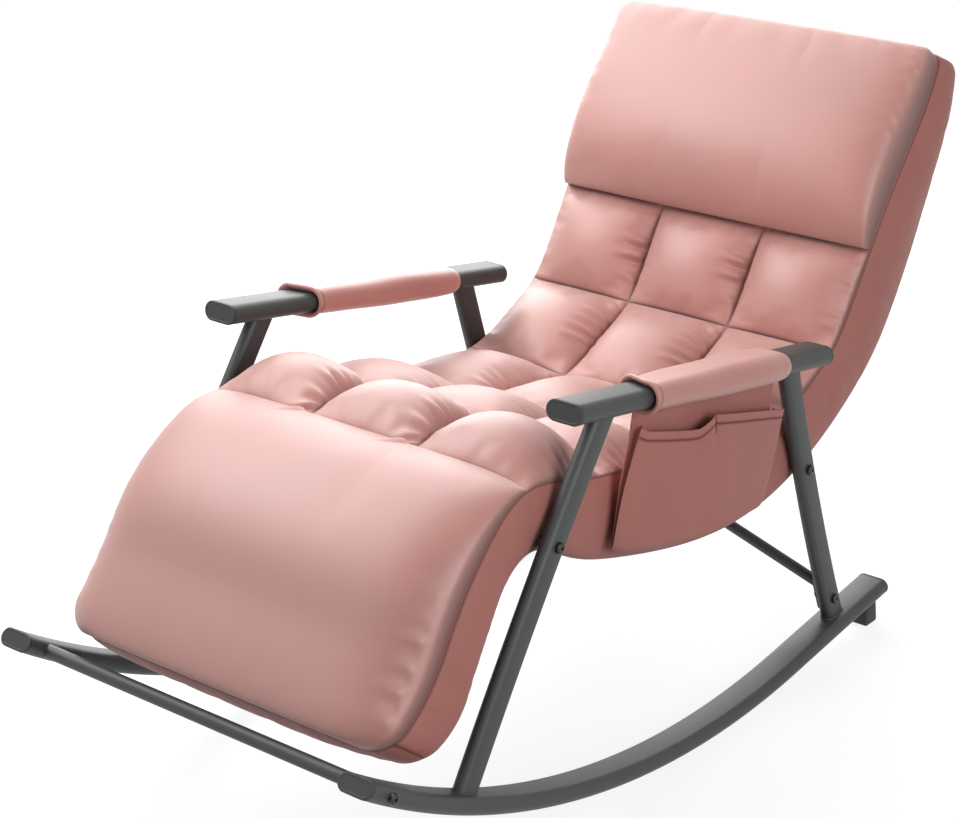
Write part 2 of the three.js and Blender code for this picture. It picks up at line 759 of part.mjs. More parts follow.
function buildBraceFixing(name, sign) {
  const nutOuter = plateInnerX - fitGap;
  const nutInner = nutOuter - nutHeight;
  const bolt = boltGeometry(sign, legOuterX + fitGap, nutInner - boltTail, boltDiameter, braceBoltAt);
  addPiece(`brace_bolt_${name}`, bolt, boltSteel);
  const nut = new THREE.CylinderGeometry(nutWidth / 2, nutWidth / 2, nutHeight, hexagonFacets);
  nut.rotateZ(Math.PI / 2);
  nut.translate(sign * (nutInner + nutOuter) / 2, braceBoltAt.y, braceBoltAt.z);
  const inner = sign * (nutInner - cutOverrun);
  const outer = sign * (nutOuter + cutOverrun);
  const bore = crossRound(boltDiameter + 2 * fitGap, inner, outer, braceBoltAt);
  addPiece(`brace_nut_${name}`, cut(nut, bore), boltSteel);
}

// A stop block: it stands on the floor and its top is cut to the runner's underside
function buildStop(name, sign) {
  const place = onRunnerTail(runnerTail - stopInset);
  const half = { x: stopWidth / 2, y: stopDepth / 2 };
  const shape = new THREE.Shape();
  shape.moveTo(-half.x, -half.y);
  shape.lineTo(half.x, -half.y);
  shape.lineTo(half.x, half.y);
  shape.lineTo(-half.x, half.y);
  const block = new THREE.ExtrudeGeometry(shape, { depth: place.z, bevelEnabled: false });
  const position = block.getAttribute('position');
  for (let i = 0; i < position.count; i += 1) {
    const taper = THREE.MathUtils.lerp(1, stopTopShare, position.getZ(i) / place.z);
    position.setX(i, position.getX(i) * taper);
    position.setY(i, position.getY(i) * taper);
  }
  block.translate(sign * sideX, place.y, 0);
  addPiece(`rear_stop_${name}`, cut(block, runnerTool(sign)), stopRubber);
}

// Under cover, with holes where the seat bushes pass its walls
function buildCover() {
  const outside = seatBand(0, 1, 0, coverHeight, coverHalf);
  const room = seatBand(
    coverEndShare,
    1 - coverEndShare,
    coverFloor,
    coverHeight + cutOverrun,
    coverHalf - coverWall,
  );
  const holes = [frontLeg, rearLeg].map((leg) => {
    const reach = coverHalf + cutOverrun;
    return crossRound(bushDiameter + 2 * fitGap, -reach, reach, leg.boltAt);
  });
  addPiece('seat_under_cover', cut(outside, room, ...holes), coverCloth);
}

const seatTubeRuns = runStations(seatTubeEndShare, 1 - seatTubeEndShare);

function seatTubePath(x) {
  const places = seatTubeRuns.map((run) => seatPlace(run, seatTubeAbove));
  const placeAt = (t) => {
    const index = Math.min(Math.floor(t * (places.length - 1)), places.length - 2);
    const share = t * (places.length - 1) - index;
    return places[index].clone().lerp(places[index + 1], share);
  };
  return new SideCurve(x, placeAt);
}

function buildSeatFrame() {
  const section = ovalSection(seatTubeDiameter, seatTubeDiameter, seatTubeWall);
  for (const { side, sign } of sides) {
    const tube = sweep(section, seatTubePath(sign * seatTubeX), seatTubeRuns.length - 1);
    addPiece(`seat_side_tube_${side}`, tube, bareSteel);
  }
  const reach = seatTubeX - seatTubeDiameter / 2 - fitGap;
  seatCrossShares.forEach((run, i) => {
    const place = seatPlace(run, seatTubeAbove);
    const bore = seatCrossDiameter - 2 * seatTubeWall;
    const tube = crossRound(seatCrossDiameter, -reach, reach, place, bore);
    addPiece(`seat_cross_tube_${i + 1}`, tube, bareSteel);
  });
}

const strapAbove = seatTubeAbove + seatTubeDiameter / 2 + 2 * fitGap;

function buildStraps() {
  strapShares.forEach((run, i) => {
    const low = strapAbove;
    const high = strapAbove + strapThickness;
    const half = seatTubeX + seatTubeDiameter / 2;
    const strap = seatBand(run - strapRunShare, run + strapRunShare, low, high, half);
    addPiece(`webbing_strap_${i + 1}`, strap, webbing);
  });
}

function buildFoam() {
  const low = strapAbove + strapThickness + 2 * fitGap;
  const high = coverHeight - fitGap;
  const half = coverHalf - coverWall - fitGap;
  const slab = seatBand(foamEndShare, 1 - foamEndShare, low, high, half);
  addPiece('foam_slab', slab, foam);
}

// Stations of a run of equal bays, each split at the same shares
function bayStations(bays, shares) {
  const stations = [];
  for (let bay = 0; bay < bays; bay += 1) {
    for (const share of shares) stations.push((bay + share) / bays);
  }
  stations.push(1);
  return stations;
}

// How far a bay stands proud, from 0 at its seams to 1 at its middle
function swell(station, bays, power) {
  const share = station * bays - Math.floor(station * bays);
  return Math.sin(Math.PI * share) ** power;
}

// A cushion: stuffed bays between sewn channels, sides that bulge and draw in to the top seam
function cushionGeometry({ from, to, rows, columns, crown, power, rowShares, columnShares }) {
  const low = coverHeight + fitGap;
  const foot = seatWidth / 2 - coverInset;
  const rowRuns = bayStations(rows, rowShares).map((share) => THREE.MathUtils.lerp(from, to, share));
  const columnStations = bayStations(columns, columnShares);
  const positions = [];
  const sections = runStations(from, to, rowRuns).map((run) => {
    const rowStation = (run - from) / (to - from);
    const seamAbove = seamHeight(run);
    const along = swell(rowStation, rows, power);
    const backShare = Math.max(run - crotchSeamShare, 0) / (1 - crotchSeamShare);
    const bulge = seatWidth / 2 + headSpread * backShare;
    const seam = bulge - cushionSeamInset;
    const top = columnStations.map((columnStation) => {
      const full = along * swell(columnStation, columns, power);
      const isEdge = columnStation === 0 || columnStation === 1;
      const channel = isEdge ? 0 : channelDepth * (1 - full);
      const x = THREE.MathUtils.lerp(-seam, seam, columnStation);
      return [x, seamAbove - channel + crown * full];
    });
    const middle = (low + seamAbove) / 2;
    const outline = [[-foot, low], [-bulge, middle], ...top, [bulge, middle], [foot, low]];
    for (const [x, above] of outline) {
      const place = seatPlace(run, above);
      positions.push(x, place.y, place.z);
    }
    return outline.map(([x, above]) => new THREE.Vector2(x, above));
  });

  const ring = sections[0].length;
  const indices = [];
  for (let i = 0; i + 1 < sections.length; i += 1) {
    for (let j = 0; j < ring; j += 1) {
      const a = i * ring + j;
      const b = i * ring + ((j + 1) % ring);
      indices.push(a, b, a + ring, b, b + ring, a + ring);
    }
  }
  const closeEnd = (section, first, flip) => {
    for (const [a, b, c] of THREE.ShapeUtils.triangulateShape(section, [])) {
      indices.push(first + a, first + (flip ? c : b), first + (flip ? b : c));
    }
  };
  closeEnd(sections[0], 0, false);
  closeEnd(sections[sections.length - 1], ring * (sections.length - 1), true);
  const geometry = new THREE.BufferGeometry();
  geometry.setAttribute('position', new THREE.Float32BufferAttribute(positions, 3));
  geometry.setIndex(indices);
  geometry.computeVertexNormals();
  return geometry;
}

function buildCushions() {
  const tufted = {
    columns: tuftColumns,
    crown: tuftCrown,
    power: tuftPower,
    rowShares: tuftRowShares,
    columnShares: tuftColumnShares,
  };
  const plain = {
    rows: 1,
    columns: 1,
    rowShares: panelRowShares,
    columnShares: panelColumnShares,
  };
  const legRest = { crown: legRestCrown, power: panelPower };
  const head = { crown: headCrown, power: headPower };
  const cushions = [
    { name: 'leg_rest_cushion', from: 0, to: kneeSeamShare, ...plain, ...legRest },
    { name: 'seat_cushion', from: kneeSeamShare, to: crotchSeamShare, ...tufted, rows: 3 },
    { name: 'back_cushion', from: crotchSeamShare, to: headSeamShare, ...tufted, rows: 2 },
    { name: 'head_cushion', from: headSeamShare, to: 1, ...plain, ...head },
  ];
  for (const { name, from, to, ...form } of cushions) {
    const geometry = cushionGeometry({
      from: from + cushionGapShare,
      to: to - cushionGapShare,
      ...form,
    });
    addPiece(name, geometry, leather);
  }
}

for (const { side, sign } of sides) {
  buildRunner(side, sign);
  buildRunnerCaps(side, sign);
  buildStop(side, sign);
  for (const leg of [frontLeg, rearLeg]) {
    buildLeg(leg, side, sign);
    buildSeatBolt(leg, side, sign);
  }
  buildArm(side, sign);
  buildBraceFixing(side, sign);
}
buildPocket();
buildCrossTube();
buildBrace();
buildCover();
buildSeatFrame();
buildStraps();
buildFoam();
buildCushions();

// The origin is on the floor under the middle of the whole chair
const chairBox = new THREE.Box3().setFromObject(chair);
chair.position.y = -(chairBox.min.y + chairBox.max.y) / 2;

export default chair;
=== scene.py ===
# Lounge rocking chair: tufted pad, padded arms, side pocket and a frame of flat oval tube
# Metres, +Z up. The sitter faces -Y and the side with the pocket is +X.
import math

import bmesh
import bpy
import numpy as np
from mathutils import Matrix, Vector


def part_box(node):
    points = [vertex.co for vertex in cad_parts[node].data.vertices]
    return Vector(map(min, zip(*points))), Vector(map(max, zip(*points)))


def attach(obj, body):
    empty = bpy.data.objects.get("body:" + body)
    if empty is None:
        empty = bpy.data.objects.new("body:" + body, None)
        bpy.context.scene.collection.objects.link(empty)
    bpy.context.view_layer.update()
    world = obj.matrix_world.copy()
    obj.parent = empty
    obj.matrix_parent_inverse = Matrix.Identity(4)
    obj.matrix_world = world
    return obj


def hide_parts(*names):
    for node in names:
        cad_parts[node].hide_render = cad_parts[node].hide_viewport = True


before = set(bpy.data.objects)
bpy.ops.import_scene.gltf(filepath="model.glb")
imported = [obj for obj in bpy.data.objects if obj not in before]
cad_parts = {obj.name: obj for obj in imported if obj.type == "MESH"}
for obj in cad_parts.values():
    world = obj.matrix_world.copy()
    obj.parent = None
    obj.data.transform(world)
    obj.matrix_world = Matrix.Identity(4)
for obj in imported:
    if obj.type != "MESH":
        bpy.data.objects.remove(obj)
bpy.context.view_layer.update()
print("frame loaded")
sides = (("left", 1), ("right", -1))


# Small helpers for modelling by hand
def deselectAll():
    if bpy.context.object and bpy.context.object.mode != "OBJECT":
        bpy.ops.object.mode_set(mode="OBJECT")
    bpy.ops.object.select_all(action="DESELECT")


def makeActive(piece):
    deselectAll()
    piece.select_set(True)
    bpy.context.view_layer.objects.active = piece


def editMode(piece):
    makeActive(piece)
    bpy.ops.object.mode_set(mode="EDIT")
    bpy.ops.mesh.select_mode(type="VERT")


def leaveEdit():
    bpy.ops.object.mode_set(mode="OBJECT")


def selectAll():
    bpy.ops.mesh.select_all(action="SELECT")


def extrude(value):
    bpy.ops.mesh.extrude_region_move(TRANSFORM_OT_translate={"value": value})


def turnOutward(piece):
    # all faces look out of the piece
    editMode(piece)
    selectAll()
    bpy.ops.mesh.normals_make_consistent(inside=False)
    leaveEdit()


def newPiece(name, add, **options):
    deselectAll()
    add(**options)
    bpy.context.object.name = name
    return bpy.context.object


def selectWhere(piece, test, kind="VERT"):
    # picks vertices, edges or faces of the piece in edit mode by a test on their middle
    bpy.ops.mesh.select_mode(type=kind)
    bpy.ops.mesh.select_all(action="DESELECT")
    shape = bmesh.from_edit_mesh(piece.data)
    if kind == "VERT":
        for vert in shape.verts:
            vert.select = test(vert.co)
    elif kind == "EDGE":
        for edge in shape.edges:
            edge.select = test((edge.verts[0].co + edge.verts[1].co) / 2)
    else:
        for face in shape.faces:
            face.select = test(face.calc_center_median())
    shape.select_flush_mode()
    bmesh.update_edit_mesh(piece.data)


def applyPlace(piece):
    makeActive(piece)
    bpy.ops.object.transform_apply(location=True, rotation=True, scale=True)


def smooth(piece, degrees=32):
    makeActive(piece)
    bpy.ops.object.shade_smooth_by_angle(angle=math.radians(degrees))


def addBevel(piece, width, segments=3, degrees=40):
    bevel = piece.modifiers.new("bevel", "BEVEL")
    bevel.width = width
    bevel.segments = segments
    bevel.limit_method = "ANGLE"
    bevel.angle_limit = math.radians(degrees)
    makeActive(piece)
    bpy.ops.object.modifier_apply(modifier=bevel.name)


def cutAway(piece, tool):
    boolean = piece.modifiers.new("cut", "BOOLEAN")
    boolean.object = tool
    boolean.operation = "DIFFERENCE"
    boolean.solver = "EXACT"
    makeActive(piece)
    bpy.ops.object.modifier_apply(modifier=boolean.name)
    bpy.data.objects.remove(tool)


def finishPiece(piece, material, slotName, *nodes):
    piece.data.materials.clear()
    piece.data.materials.append(material)
    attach(piece, "root")
    if nodes:
        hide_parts(*nodes)
    return piece


def setValues(piece, name, values):
    attribute = piece.data.attributes.new(name, "FLOAT", "POINT")
    attribute.data.foreach_set("value", np.array(values, np.float32))


def getValues(mesh, name):
    values = np.zeros(len(mesh.vertices), np.float32)
    mesh.attributes[name].data.foreach_get("value", values)
    return values


def gridFaces(rows, columns):
    # four-sided faces over rows of points that are numbered one row after the other
    return [(a, a + 1, a + columns + 1, a + columns)
            for j in range(rows - 1) for a in range(j * columns, (j + 1) * columns - 1)]


def meshFrom(name, points, faces):
    mesh = bpy.data.meshes.new(name)
    mesh.from_pydata([tuple(map(float, p)) for p in points], [], faces)
    mesh.update()
    piece = bpy.data.objects.new(name, mesh)
    bpy.context.scene.collection.objects.link(piece)
    return piece


# Materials
def shaderGroup(name, inputs, outputs):
    group = bpy.data.node_groups.new(name, "ShaderNodeTree")
    for title, kind, value in inputs:
        socket = group.interface.new_socket(title, in_out="INPUT", socket_type=kind)
        if value is not None:
            socket.default_value = value
    for title, kind in outputs:
        group.interface.new_socket(title, in_out="OUTPUT", socket_type=kind)
    return group


def linker(tree):
    def link(fromNode, fromSocket, toNode, toSocket):
        tree.links.new(fromNode.outputs[fromSocket], toNode.inputs[toSocket])
    return link


def mathNode(tree, operation, first=None, second=None):
    node = tree.nodes.new("ShaderNodeMath")
    node.operation = operation
    for index, value in enumerate((first, second)):
        if value is None:
            continue
        if isinstance(value, (int, float)):
            node.inputs[index].default_value = value
        else:
            tree.links.new(value, node.inputs[index])
    return node.outputs[0]


def noiseNode(tree, vector, scale, detail=2.0, roughness=0.5):
    node = tree.nodes.new("ShaderNodeTexNoise")
    node.inputs["Scale"].default_value = scale
    node.inputs["Detail"].default_value = detail
    node.inputs["Roughness"].default_value = roughness
    tree.links.new(vector, node.inputs["Vector"])
    return node.outputs[0]


def rampNode(tree, factor, stops):
    node = tree.nodes.new("ShaderNodeValToRGB")
    ramp = node.color_ramp
    while len(ramp.elements) < len(stops):
        ramp.elements.new(0.5)
    for element, (position, colour) in zip(ramp.elements, stops):
        element.position = position
        element.color = (*colour, 1)
    tree.links.new(factor, node.inputs[0])
    return node.outputs[0]


def toneRamp(tree, factor, colour, shares, stops=(0.3, 0.7)):
    # darker and lighter patches of one colour
    tones = [tuple(min(1, c * share) for c in colour) for share in shares]
    return rampNode(tree, factor, list(zip(stops, tones)))


def toLinear(red, green, blue):
    return tuple((c / 255 / 12.92) if c / 255 <= 0.04045 else ((c / 255 + 0.055) / 1.055) ** 2.4
                 for c in (red, green, blue))


def groupEnds(group):
    # the group's link function, its input and output nodes and the place on the object
    kinds = ("NodeGroupInput", "NodeGroupOutput", "ShaderNodeTexCoord")
    return linker(group), *(group.nodes.new(kind) for kind in kinds)


def newMaterial(name):
    material = bpy.data.materials.new(name)
    material.use_nodes = True
    return material, material.node_tree, material.node_tree.nodes["Principled BSDF"]


def addBump(tree, height, shader, strength, distance):
    bump = tree.nodes.new("ShaderNodeBump")
    bump.inputs["Strength"].default_value = strength
    bump.inputs["Distance"].default_value = distance
    tree.links.new(height, bump.inputs["Height"])
    tree.links.new(bump.outputs["Normal"], shader.inputs["Normal"])


clothSettings = {
    "pebbleScale": 900.0,
    "pebbleGain": 2.2,
    "creaseScale": 60.0,
    "creaseShare": 0.3,
    "creaseDetail": 3.0,
    "blotchScale": 7.0,
    "blotchDetail": 3.0,
    "grain": 0.12,
    "grainDepth": 0.0004,
    "toneShares": (0.94, 1.04),
    "unevenGloss": 0.1,
    "sheenRoughness": 0.8,
    "sheenTint": (1.0, 0.97, 0.96, 1),
    # width and colour of the painted shade along the seams
    "seamShadeWidth": 0.0036,
    "seamShadeColour": (104, 42, 30),
}


# fine pebble grain with faint stretch creases, as a height from 0 to 1
def grainGroup(settings):
    group = shaderGroup(
        "leather grain",
        [("Pebble Scale", "NodeSocketFloat", settings["pebbleScale"]),
         ("Crease Scale", "NodeSocketFloat", settings["creaseScale"]),
         ("Crease Share", "NodeSocketFloat", settings["creaseShare"])],
        [("Height", "NodeSocketFloat"), ("Blotch", "NodeSocketFloat")],
    )
    link, entry, leave, place = groupEnds(group)
    cells = group.nodes.new("ShaderNodeTexVoronoi")
    cells.feature = "DISTANCE_TO_EDGE"
    link(place, "Object", cells, "Vector")
    link(entry, "Pebble Scale", cells, "Scale")
    pebble = mathNode(group, "MULTIPLY", cells.outputs["Distance"], settings["pebbleGain"])
    pebble = mathNode(group, "MINIMUM", pebble, 1.0)
    crease = group.nodes.new("ShaderNodeTexNoise")
    crease.inputs["Detail"].default_value = settings["creaseDetail"]
    link(place, "Object", crease, "Vector")
    link(entry, "Crease Scale", crease, "Scale")
    folded = mathNode(group, "MULTIPLY", crease.outputs[0], entry.outputs["Crease Share"])
    group.links.new(mathNode(group, "ADD", pebble, folded), leave.inputs["Height"])
    blotch = noiseNode(group, place.outputs["Object"], settings["blotchScale"], settings["blotchDetail"])
    group.links.new(blotch, leave.inputs["Blotch"])
    return group


leatherGrain = grainGroup(clothSettings)


def leatherMaterial(name, colour, roughness, ior=1.75, sheen=0.34):
    settings = clothSettings
    material, tree, shader = newMaterial(name)
    shader.inputs["IOR"].default_value = ior
    shader.inputs["Sheen Weight"].default_value = sheen
    shader.inputs["Sheen Roughness"].default_value = settings["sheenRoughness"]
    shader.inputs["Sheen Tint"].default_value = settings["sheenTint"]
    skin = tree.nodes.new("ShaderNodeGroup")
    skin.node_tree = leatherGrain
    tone = toneRamp(tree, skin.outputs["Blotch"], toLinear(*colour), settings["toneShares"])
    # painted shade along the seams: the colour darkens to a thin dark line where the attribute nears zero
    seam = tree.nodes.new("ShaderNodeAttribute")
    seam.attribute_name = "seamDistance"
    shade = mathNode(tree, "DIVIDE", seam.outputs["Fac"], settings["seamShadeWidth"])
    shade = mathNode(tree, "MINIMUM", shade, 1.0)
    mix = tree.nodes.new("ShaderNodeMix")
    mix.data_type = "RGBA"
    tree.links.new(shade, mix.inputs["Factor"])
    mix.inputs[6].default_value = (*toLinear(*settings["seamShadeColour"]), 1)
    tree.links.new(tone, mix.inputs[7])
    tree.links.new(mix.outputs[2], shader.inputs["Base Color"])
    rough = mathNode(tree, "MULTIPLY", skin.outputs["Blotch"], settings["unevenGloss"])
    rough = mathNode(tree, "ADD", rough, roughness - settings["unevenGloss"] / 2)
    dull = mathNode(tree, "SUBTRACT", 1.0, shade)  # the painted seam shade doesn't shine
    tree.links.new(mathNode(tree, "MAXIMUM", rough, dull), shader.inputs["Roughness"])
    addBump(tree, skin.outputs["Height"], shader, settings["grain"], settings["grainDepth"])
    return material


paintSettings = {
    "peelScale": 420.0,
    "peelDetail": 2.0,
    "peelDepth": 0.0003,
    "patchScale": 9.0,
    "patchDetail": 4.0,
    "toneShares": (0.92, 1.07),
    "unevenGloss": 0.12,
}


# powder coat: orange-peel bump and a slightly uneven gloss
def peelGroup(settings):
    group = shaderGroup(
        "powder coat",
        [("Scale", "NodeSocketFloat", settings["peelScale"]), ("Base Roughness", "NodeSocketFloat", 0.4)],
        [("Height", "NodeSocketFloat"), ("Roughness", "NodeSocketFloat"), ("Tone", "NodeSocketFloat")],
    )
    link, entry, leave, place = groupEnds(group)
    peel = group.nodes.new("ShaderNodeTexNoise")
    peel.inputs["Detail"].default_value = settings["peelDetail"]
    link(place, "Object", peel, "Vector")
    link(entry, "Scale", peel, "Scale")
    link(peel, 0, leave, "Height")
    patches = noiseNode(group, place.outputs["Object"], settings["patchScale"], settings["patchDetail"])
    uneven = mathNode(group, "MULTIPLY", patches, settings["unevenGloss"])
    rough = mathNode(group, "ADD", entry.outputs["Base Roughness"], uneven)
    group.links.new(rough, leave.inputs["Roughness"])
    group.links.new(patches, leave.inputs["Tone"])
    return group


powderCoat = peelGroup(paintSettings)


def coatedMaterial(name, colour, roughness, metallic=0.0, scale=paintSettings["peelScale"], bump=0.15):
    settings = paintSettings
    material, tree, shader = newMaterial(name)
    shader.inputs["Metallic"].default_value = metallic
    skin = tree.nodes.new("ShaderNodeGroup")
    skin.node_tree = powderCoat
    skin.inputs["Scale"].default_value = scale
    skin.inputs["Base Roughness"].default_value = roughness - settings["unevenGloss"] / 2
    tone = toneRamp(tree, skin.outputs["Tone"], toLinear(*colour), settings["toneShares"])
    tree.links.new(tone, shader.inputs["Base Color"])
    tree.links.new(skin.outputs["Roughness"], shader.inputs["Roughness"])
    addBump(tree, skin.outputs["Height"], shader, bump, settings["peelDepth"])
    return material


webbingSettings = {
    "roughness": 0.85,
    "threadScale": 150.0,
    "toneShares": (0.5, 1.0),
    "toneStops": (0.2, 0.9),
    "bump": 0.5,
    "bumpDepth": 0.0005,
}


def weaveMaterial(name, colour):
    # webbing: two sets of crossing threads in the strap's own plane
    settings = webbingSettings
    material, tree, shader = newMaterial(name)
    shader.inputs["Roughness"].default_value = settings["roughness"]
    place = tree.nodes.new("ShaderNodeTexCoord")
    heights = []
    for direction in ("X", "Y"):
        wave = tree.nodes.new("ShaderNodeTexWave")
        wave.bands_direction = direction
        wave.inputs["Scale"].default_value = settings["threadScale"]
        tree.links.new(place.outputs["Object"], wave.inputs["Vector"])
        heights.append(wave.outputs["Fac"])
    weave = mathNode(tree, "MAXIMUM", *heights)
    tone = toneRamp(tree, weave, toLinear(*colour), settings["toneShares"], settings["toneStops"])
    tree.links.new(tone, shader.inputs["Base Color"])
    addBump(tree, weave, shader, settings["bump"], settings["bumpDepth"])
    return material


pinkLeather = leatherMaterial("pink leather-look cloth", (176, 109, 98), 0.47)
# the side panels, the back and the pocket are of the same cloth with a flatter finish, in a slightly darker
# colour that paints the shade on sides turned from the light
shadedFlatLeather = leatherMaterial("pink leather-look cloth, flat finish and painted shade", (166, 104, 96), 0.6,
                               ior=1.4, sheen=0.06)
armLeather = leatherMaterial("pink leather-look cloth, arm covers", (180, 112, 101), 0.42,
                             ior=1.62, sheen=0.25)
tubePaint = coatedMaterial("dark grey powder coat", (54, 56, 56), 0.5)
capPlastic = coatedMaterial("charcoal plastic", (46, 48, 48), 0.55, scale=900.0, bump=0.1)
boltPaint = coatedMaterial("blackened steel", (52, 54, 55), 0.34, metallic=0.6, scale=700.0)
footRubber = coatedMaterial("black rubber", (50, 52, 52), 0.7, scale=600.0, bump=0.25)
strapWeave = weaveMaterial("black webbing", (46, 46, 48))
print("materials made")


# Pad: one closed form from foot to head, laid along the chair's side view
padSettings = {
    # side view of the top seam and of the back edge, foot first
    "seamLine": [(-0.6278, 0.2737), (-0.584, 0.3171), (-0.5443, 0.3592), (-0.5059, 0.409), (-0.4356, 0.4709),
                 (-0.3402, 0.5143), (-0.221, 0.497), (-0.1004, 0.4658), (0.0718, 0.4128), (0.2189, 0.4007),
                 (0.3037, 0.4269), (0.3806, 0.4709), (0.4296, 0.5309), (0.472, 0.603), (0.5237, 0.6827),
                 (0.6018, 0.7848), (0.6398, 0.858)],
    "backLine": [(-0.5622, 0.2235), (-0.5012, 0.2495), (-0.4608, 0.2999), (-0.4237, 0.3535),
                 (-0.3853, 0.3982), (-0.3164, 0.4122), (-0.2356, 0.3707), (-0.1309, 0.3312),
                 (0.0639, 0.2871), (0.2348, 0.2954), (0.3594, 0.3509), (0.4561, 0.4198), (0.5237, 0.4862),
                 (0.5979, 0.5691), (0.6601, 0.6629), (0.6946, 0.751), (0.6974, 0.835)],
    # at the same places: how far the side seam drops towards the back edge, how far the back edge
    # stands out, and the half widths at seam and back edge
    "seamDrop": [0.27, 0.27, 0.26, 0.24, 0.2, 0.14, 0.16, 0.1, 0.01, 0, 0, 0, 0, 0, 0, 0, 0],
    "backOut": [0.017, 0.017, 0.015, 0.013, 0.011, 0.006, 0.003, 0.003, 0.003, 0.008, 0.018, 0.024, 0.021,
                0.009, 0.0, -0.002, 0.0],
    "seamHalf": [0.273, 0.277, 0.277, 0.275, 0.271, 0.267, 0.267, 0.267, 0.267, 0.267, 0.268, 0.269, 0.27,
                 0.272, 0.274, 0.275, 0.275],
    "backHalf": [0.274, 0.274, 0.273, 0.272, 0.271, 0.269, 0.268, 0.268, 0.268, 0.27, 0.273, 0.275, 0.275,
                 0.271, 0.268, 0.268, 0.27],
    # how far the side panel stands out between its seams
    "sideBulge": [0.010, 0.015, 0.016, 0.014, 0.009, 0.004, 0.004, 0.005, 0.005, 0.005, 0.006, 0.009, 0.011,
                  0.013, 0.014, 0.014, 0.011],
    "endReach": 0.009,  # the foot end's panel stands this far out
    "shoulder": 8,  # how tightly the cover turns down to a dropped side seam
    "backCornerRadius": 0.014,
    "cornerSeam": 0.02,  # the side panel's short seam near the foot
    "footCorner": 0.042,  # corner radii in plan
    "headCorner": 0.019,
    "cell": 0.0046,
    "acrossCell": 0.0085,
    "lip": 0.0013,  # narrow rows beside each seam keep it crisp
    "growth": (0.3, 0.7, 1.2, 1.8),  # where the steps grow after a lip, in cells
    "fineSteps": 600,
    "slopeStep": 0.01,
    "backEvery": 5,  # the back has one column for so many of the top's
    "sideShares": [0.012, *np.linspace(0.05, 0.9, 12), 0.955, 0.985],  # rows of the side panel, seam to back
    "bulgeEnd": 1.06,
    "bulgePower": 0.7,
    "backBelly": 0.004,
    "endBulge": 0.010,
    "endPowers": (4, 0.6),
    "leanFade": 0.03,
    "channel": 0.005,
    "channelFade": 0.02,
    "columnDark": 0.0007,  # the painted shade in column seams is finer and paler than in row seams
    "cornerDark": 0.0003,
    "endSeamOff": 0.02,  # the painted shade of the side seam doesn't show on the end panels
    "sewnLips": 1.5,  # what lies this near to a seam doesn't swell
    "sideHeld": 0.85,
    "sideSwell": 0.35,
    "endHeld": (0.03, 0.8),
    "endSwell": 0.3,
}

# rows between seams: places on the lines where they end, columns, how far they stand proud, how steeply
# they leave the seam before and the seam after, how steeply they leave the column seams and the sides,
# how far they lean over those seams, how much they swell and how pale the painted shade in their seam is
padRows = [
    dict(zip(("from", "to", "columns", "crown", "rise", "side", "outer", "lean", "swell", "dark"), values))
    for values in (
        (0.0, 5.0, 1, 0.045, (0.25, 0.85), 0.18, 0.18, (0.006, 0.0), 0.1, 0.0009),
        (5.0, 6.3333, 3, 0.043, (0.78, 0.45), 0.5, 0.65, (0.004, 0.0), 0.4, 0.0009),
        (6.3333, 7.6667, 3, 0.026, (0.75, 0.5), 0.55, 0.75, (0.0, 0.0), 0.4, 0.0004),
        (7.6667, 9.0, 3, 0.032, (0.65, 0.55), 0.5, 0.8, (0.0, 0.0), 0.4, 0.0004),
        (9.0, 11.0, 3, 0.036, (0.55, 0.6), 0.5, 0.6, (0.004, 0.0), 0.45, 0.0004),
        (11.0, 13.0, 3, 0.035, (0.45, 0.6), 0.5, 0.5, (0.007, 0.0), 0.45, 0.0),
        (13.0, 16.0, 1, 0.083, (0.36, 0.2), 0.14, 0.14, (0.016, 0.014), 0.16, 0.0))]
tuftColumns = 3


def splineThrough(points):
    # natural cubic spline through points that are one step apart
    points = np.array(points, float)
    count = len(points)
    system = np.zeros((count, count))
    right = np.zeros((count, points.shape[1]))
    system[0, 0] = system[-1, -1] = 1
    for i in range(1, count - 1):
        system[i, i - 1:i + 2] = (1, 4, 1)
        right[i] = 6 * (points[i - 1] - 2 * points[i] + points[i + 1])
    second = np.linalg.solve(system, right)

    def place(t):
        t = np.atleast_1d(np.asarray(t, float))
        i = np.clip(np.floor(t).astype(int), 0, count - 2)
        b = (t - i)[:, None]
        a = 1 - b
        return (a * points[i] + b * points[i + 1]
                + ((a ** 3 - a) * second[i] + (b ** 3 - b) * second[i + 1]) / 6)
    return place


def gradedMarks(settings, length, cell, startFine, endFine):
    # distances from 0 to length: a narrow lip, steps that grow where the form is steep, even steps between
    lip, growth = settings["lip"], settings["growth"]
    start, end = [0.0, lip], [length, length - lip]
    if startFine:
        start += [lip + cell * share for share in growth]
    if endFine:
        end += [length - lip - cell * share for share in growth]
    low, high = start[-1], end[-1]
    steps = max(3, round((high - low) / cell))
    return np.array(sorted({*start, *np.linspace(low, high, steps + 1)[1:-1], *end}))


def padStations(settings, seamAt):
    # places along the pad: each row's length is split evenly, with a narrow step at both seams
    stations = []
    lastRow = len(padRows) - 1
    for index, row in enumerate(padRows):
        fine = np.linspace(row["from"], row["to"], settings["fineSteps"])
        path = seamAt(fine)
        run = np.concatenate([[0], np.cumsum(np.linalg.norm(np.diff(path, axis=0), axis=1))])
        length = run[-1]
        marks = gradedMarks(settings, length, settings["cell"], index in (0, lastRow), index == lastRow)
        if index == 0:
            marks[np.argmin(np.abs(marks - settings["cornerSeam"]))] = settings["cornerSeam"]
        for mark in marks if index == lastRow else marks[:-1]:
            stations.append({"row": index, "share": mark / length, "run": mark, "length": length,
                             "t": float(np.interp(mark, run, fine))})
    return stations


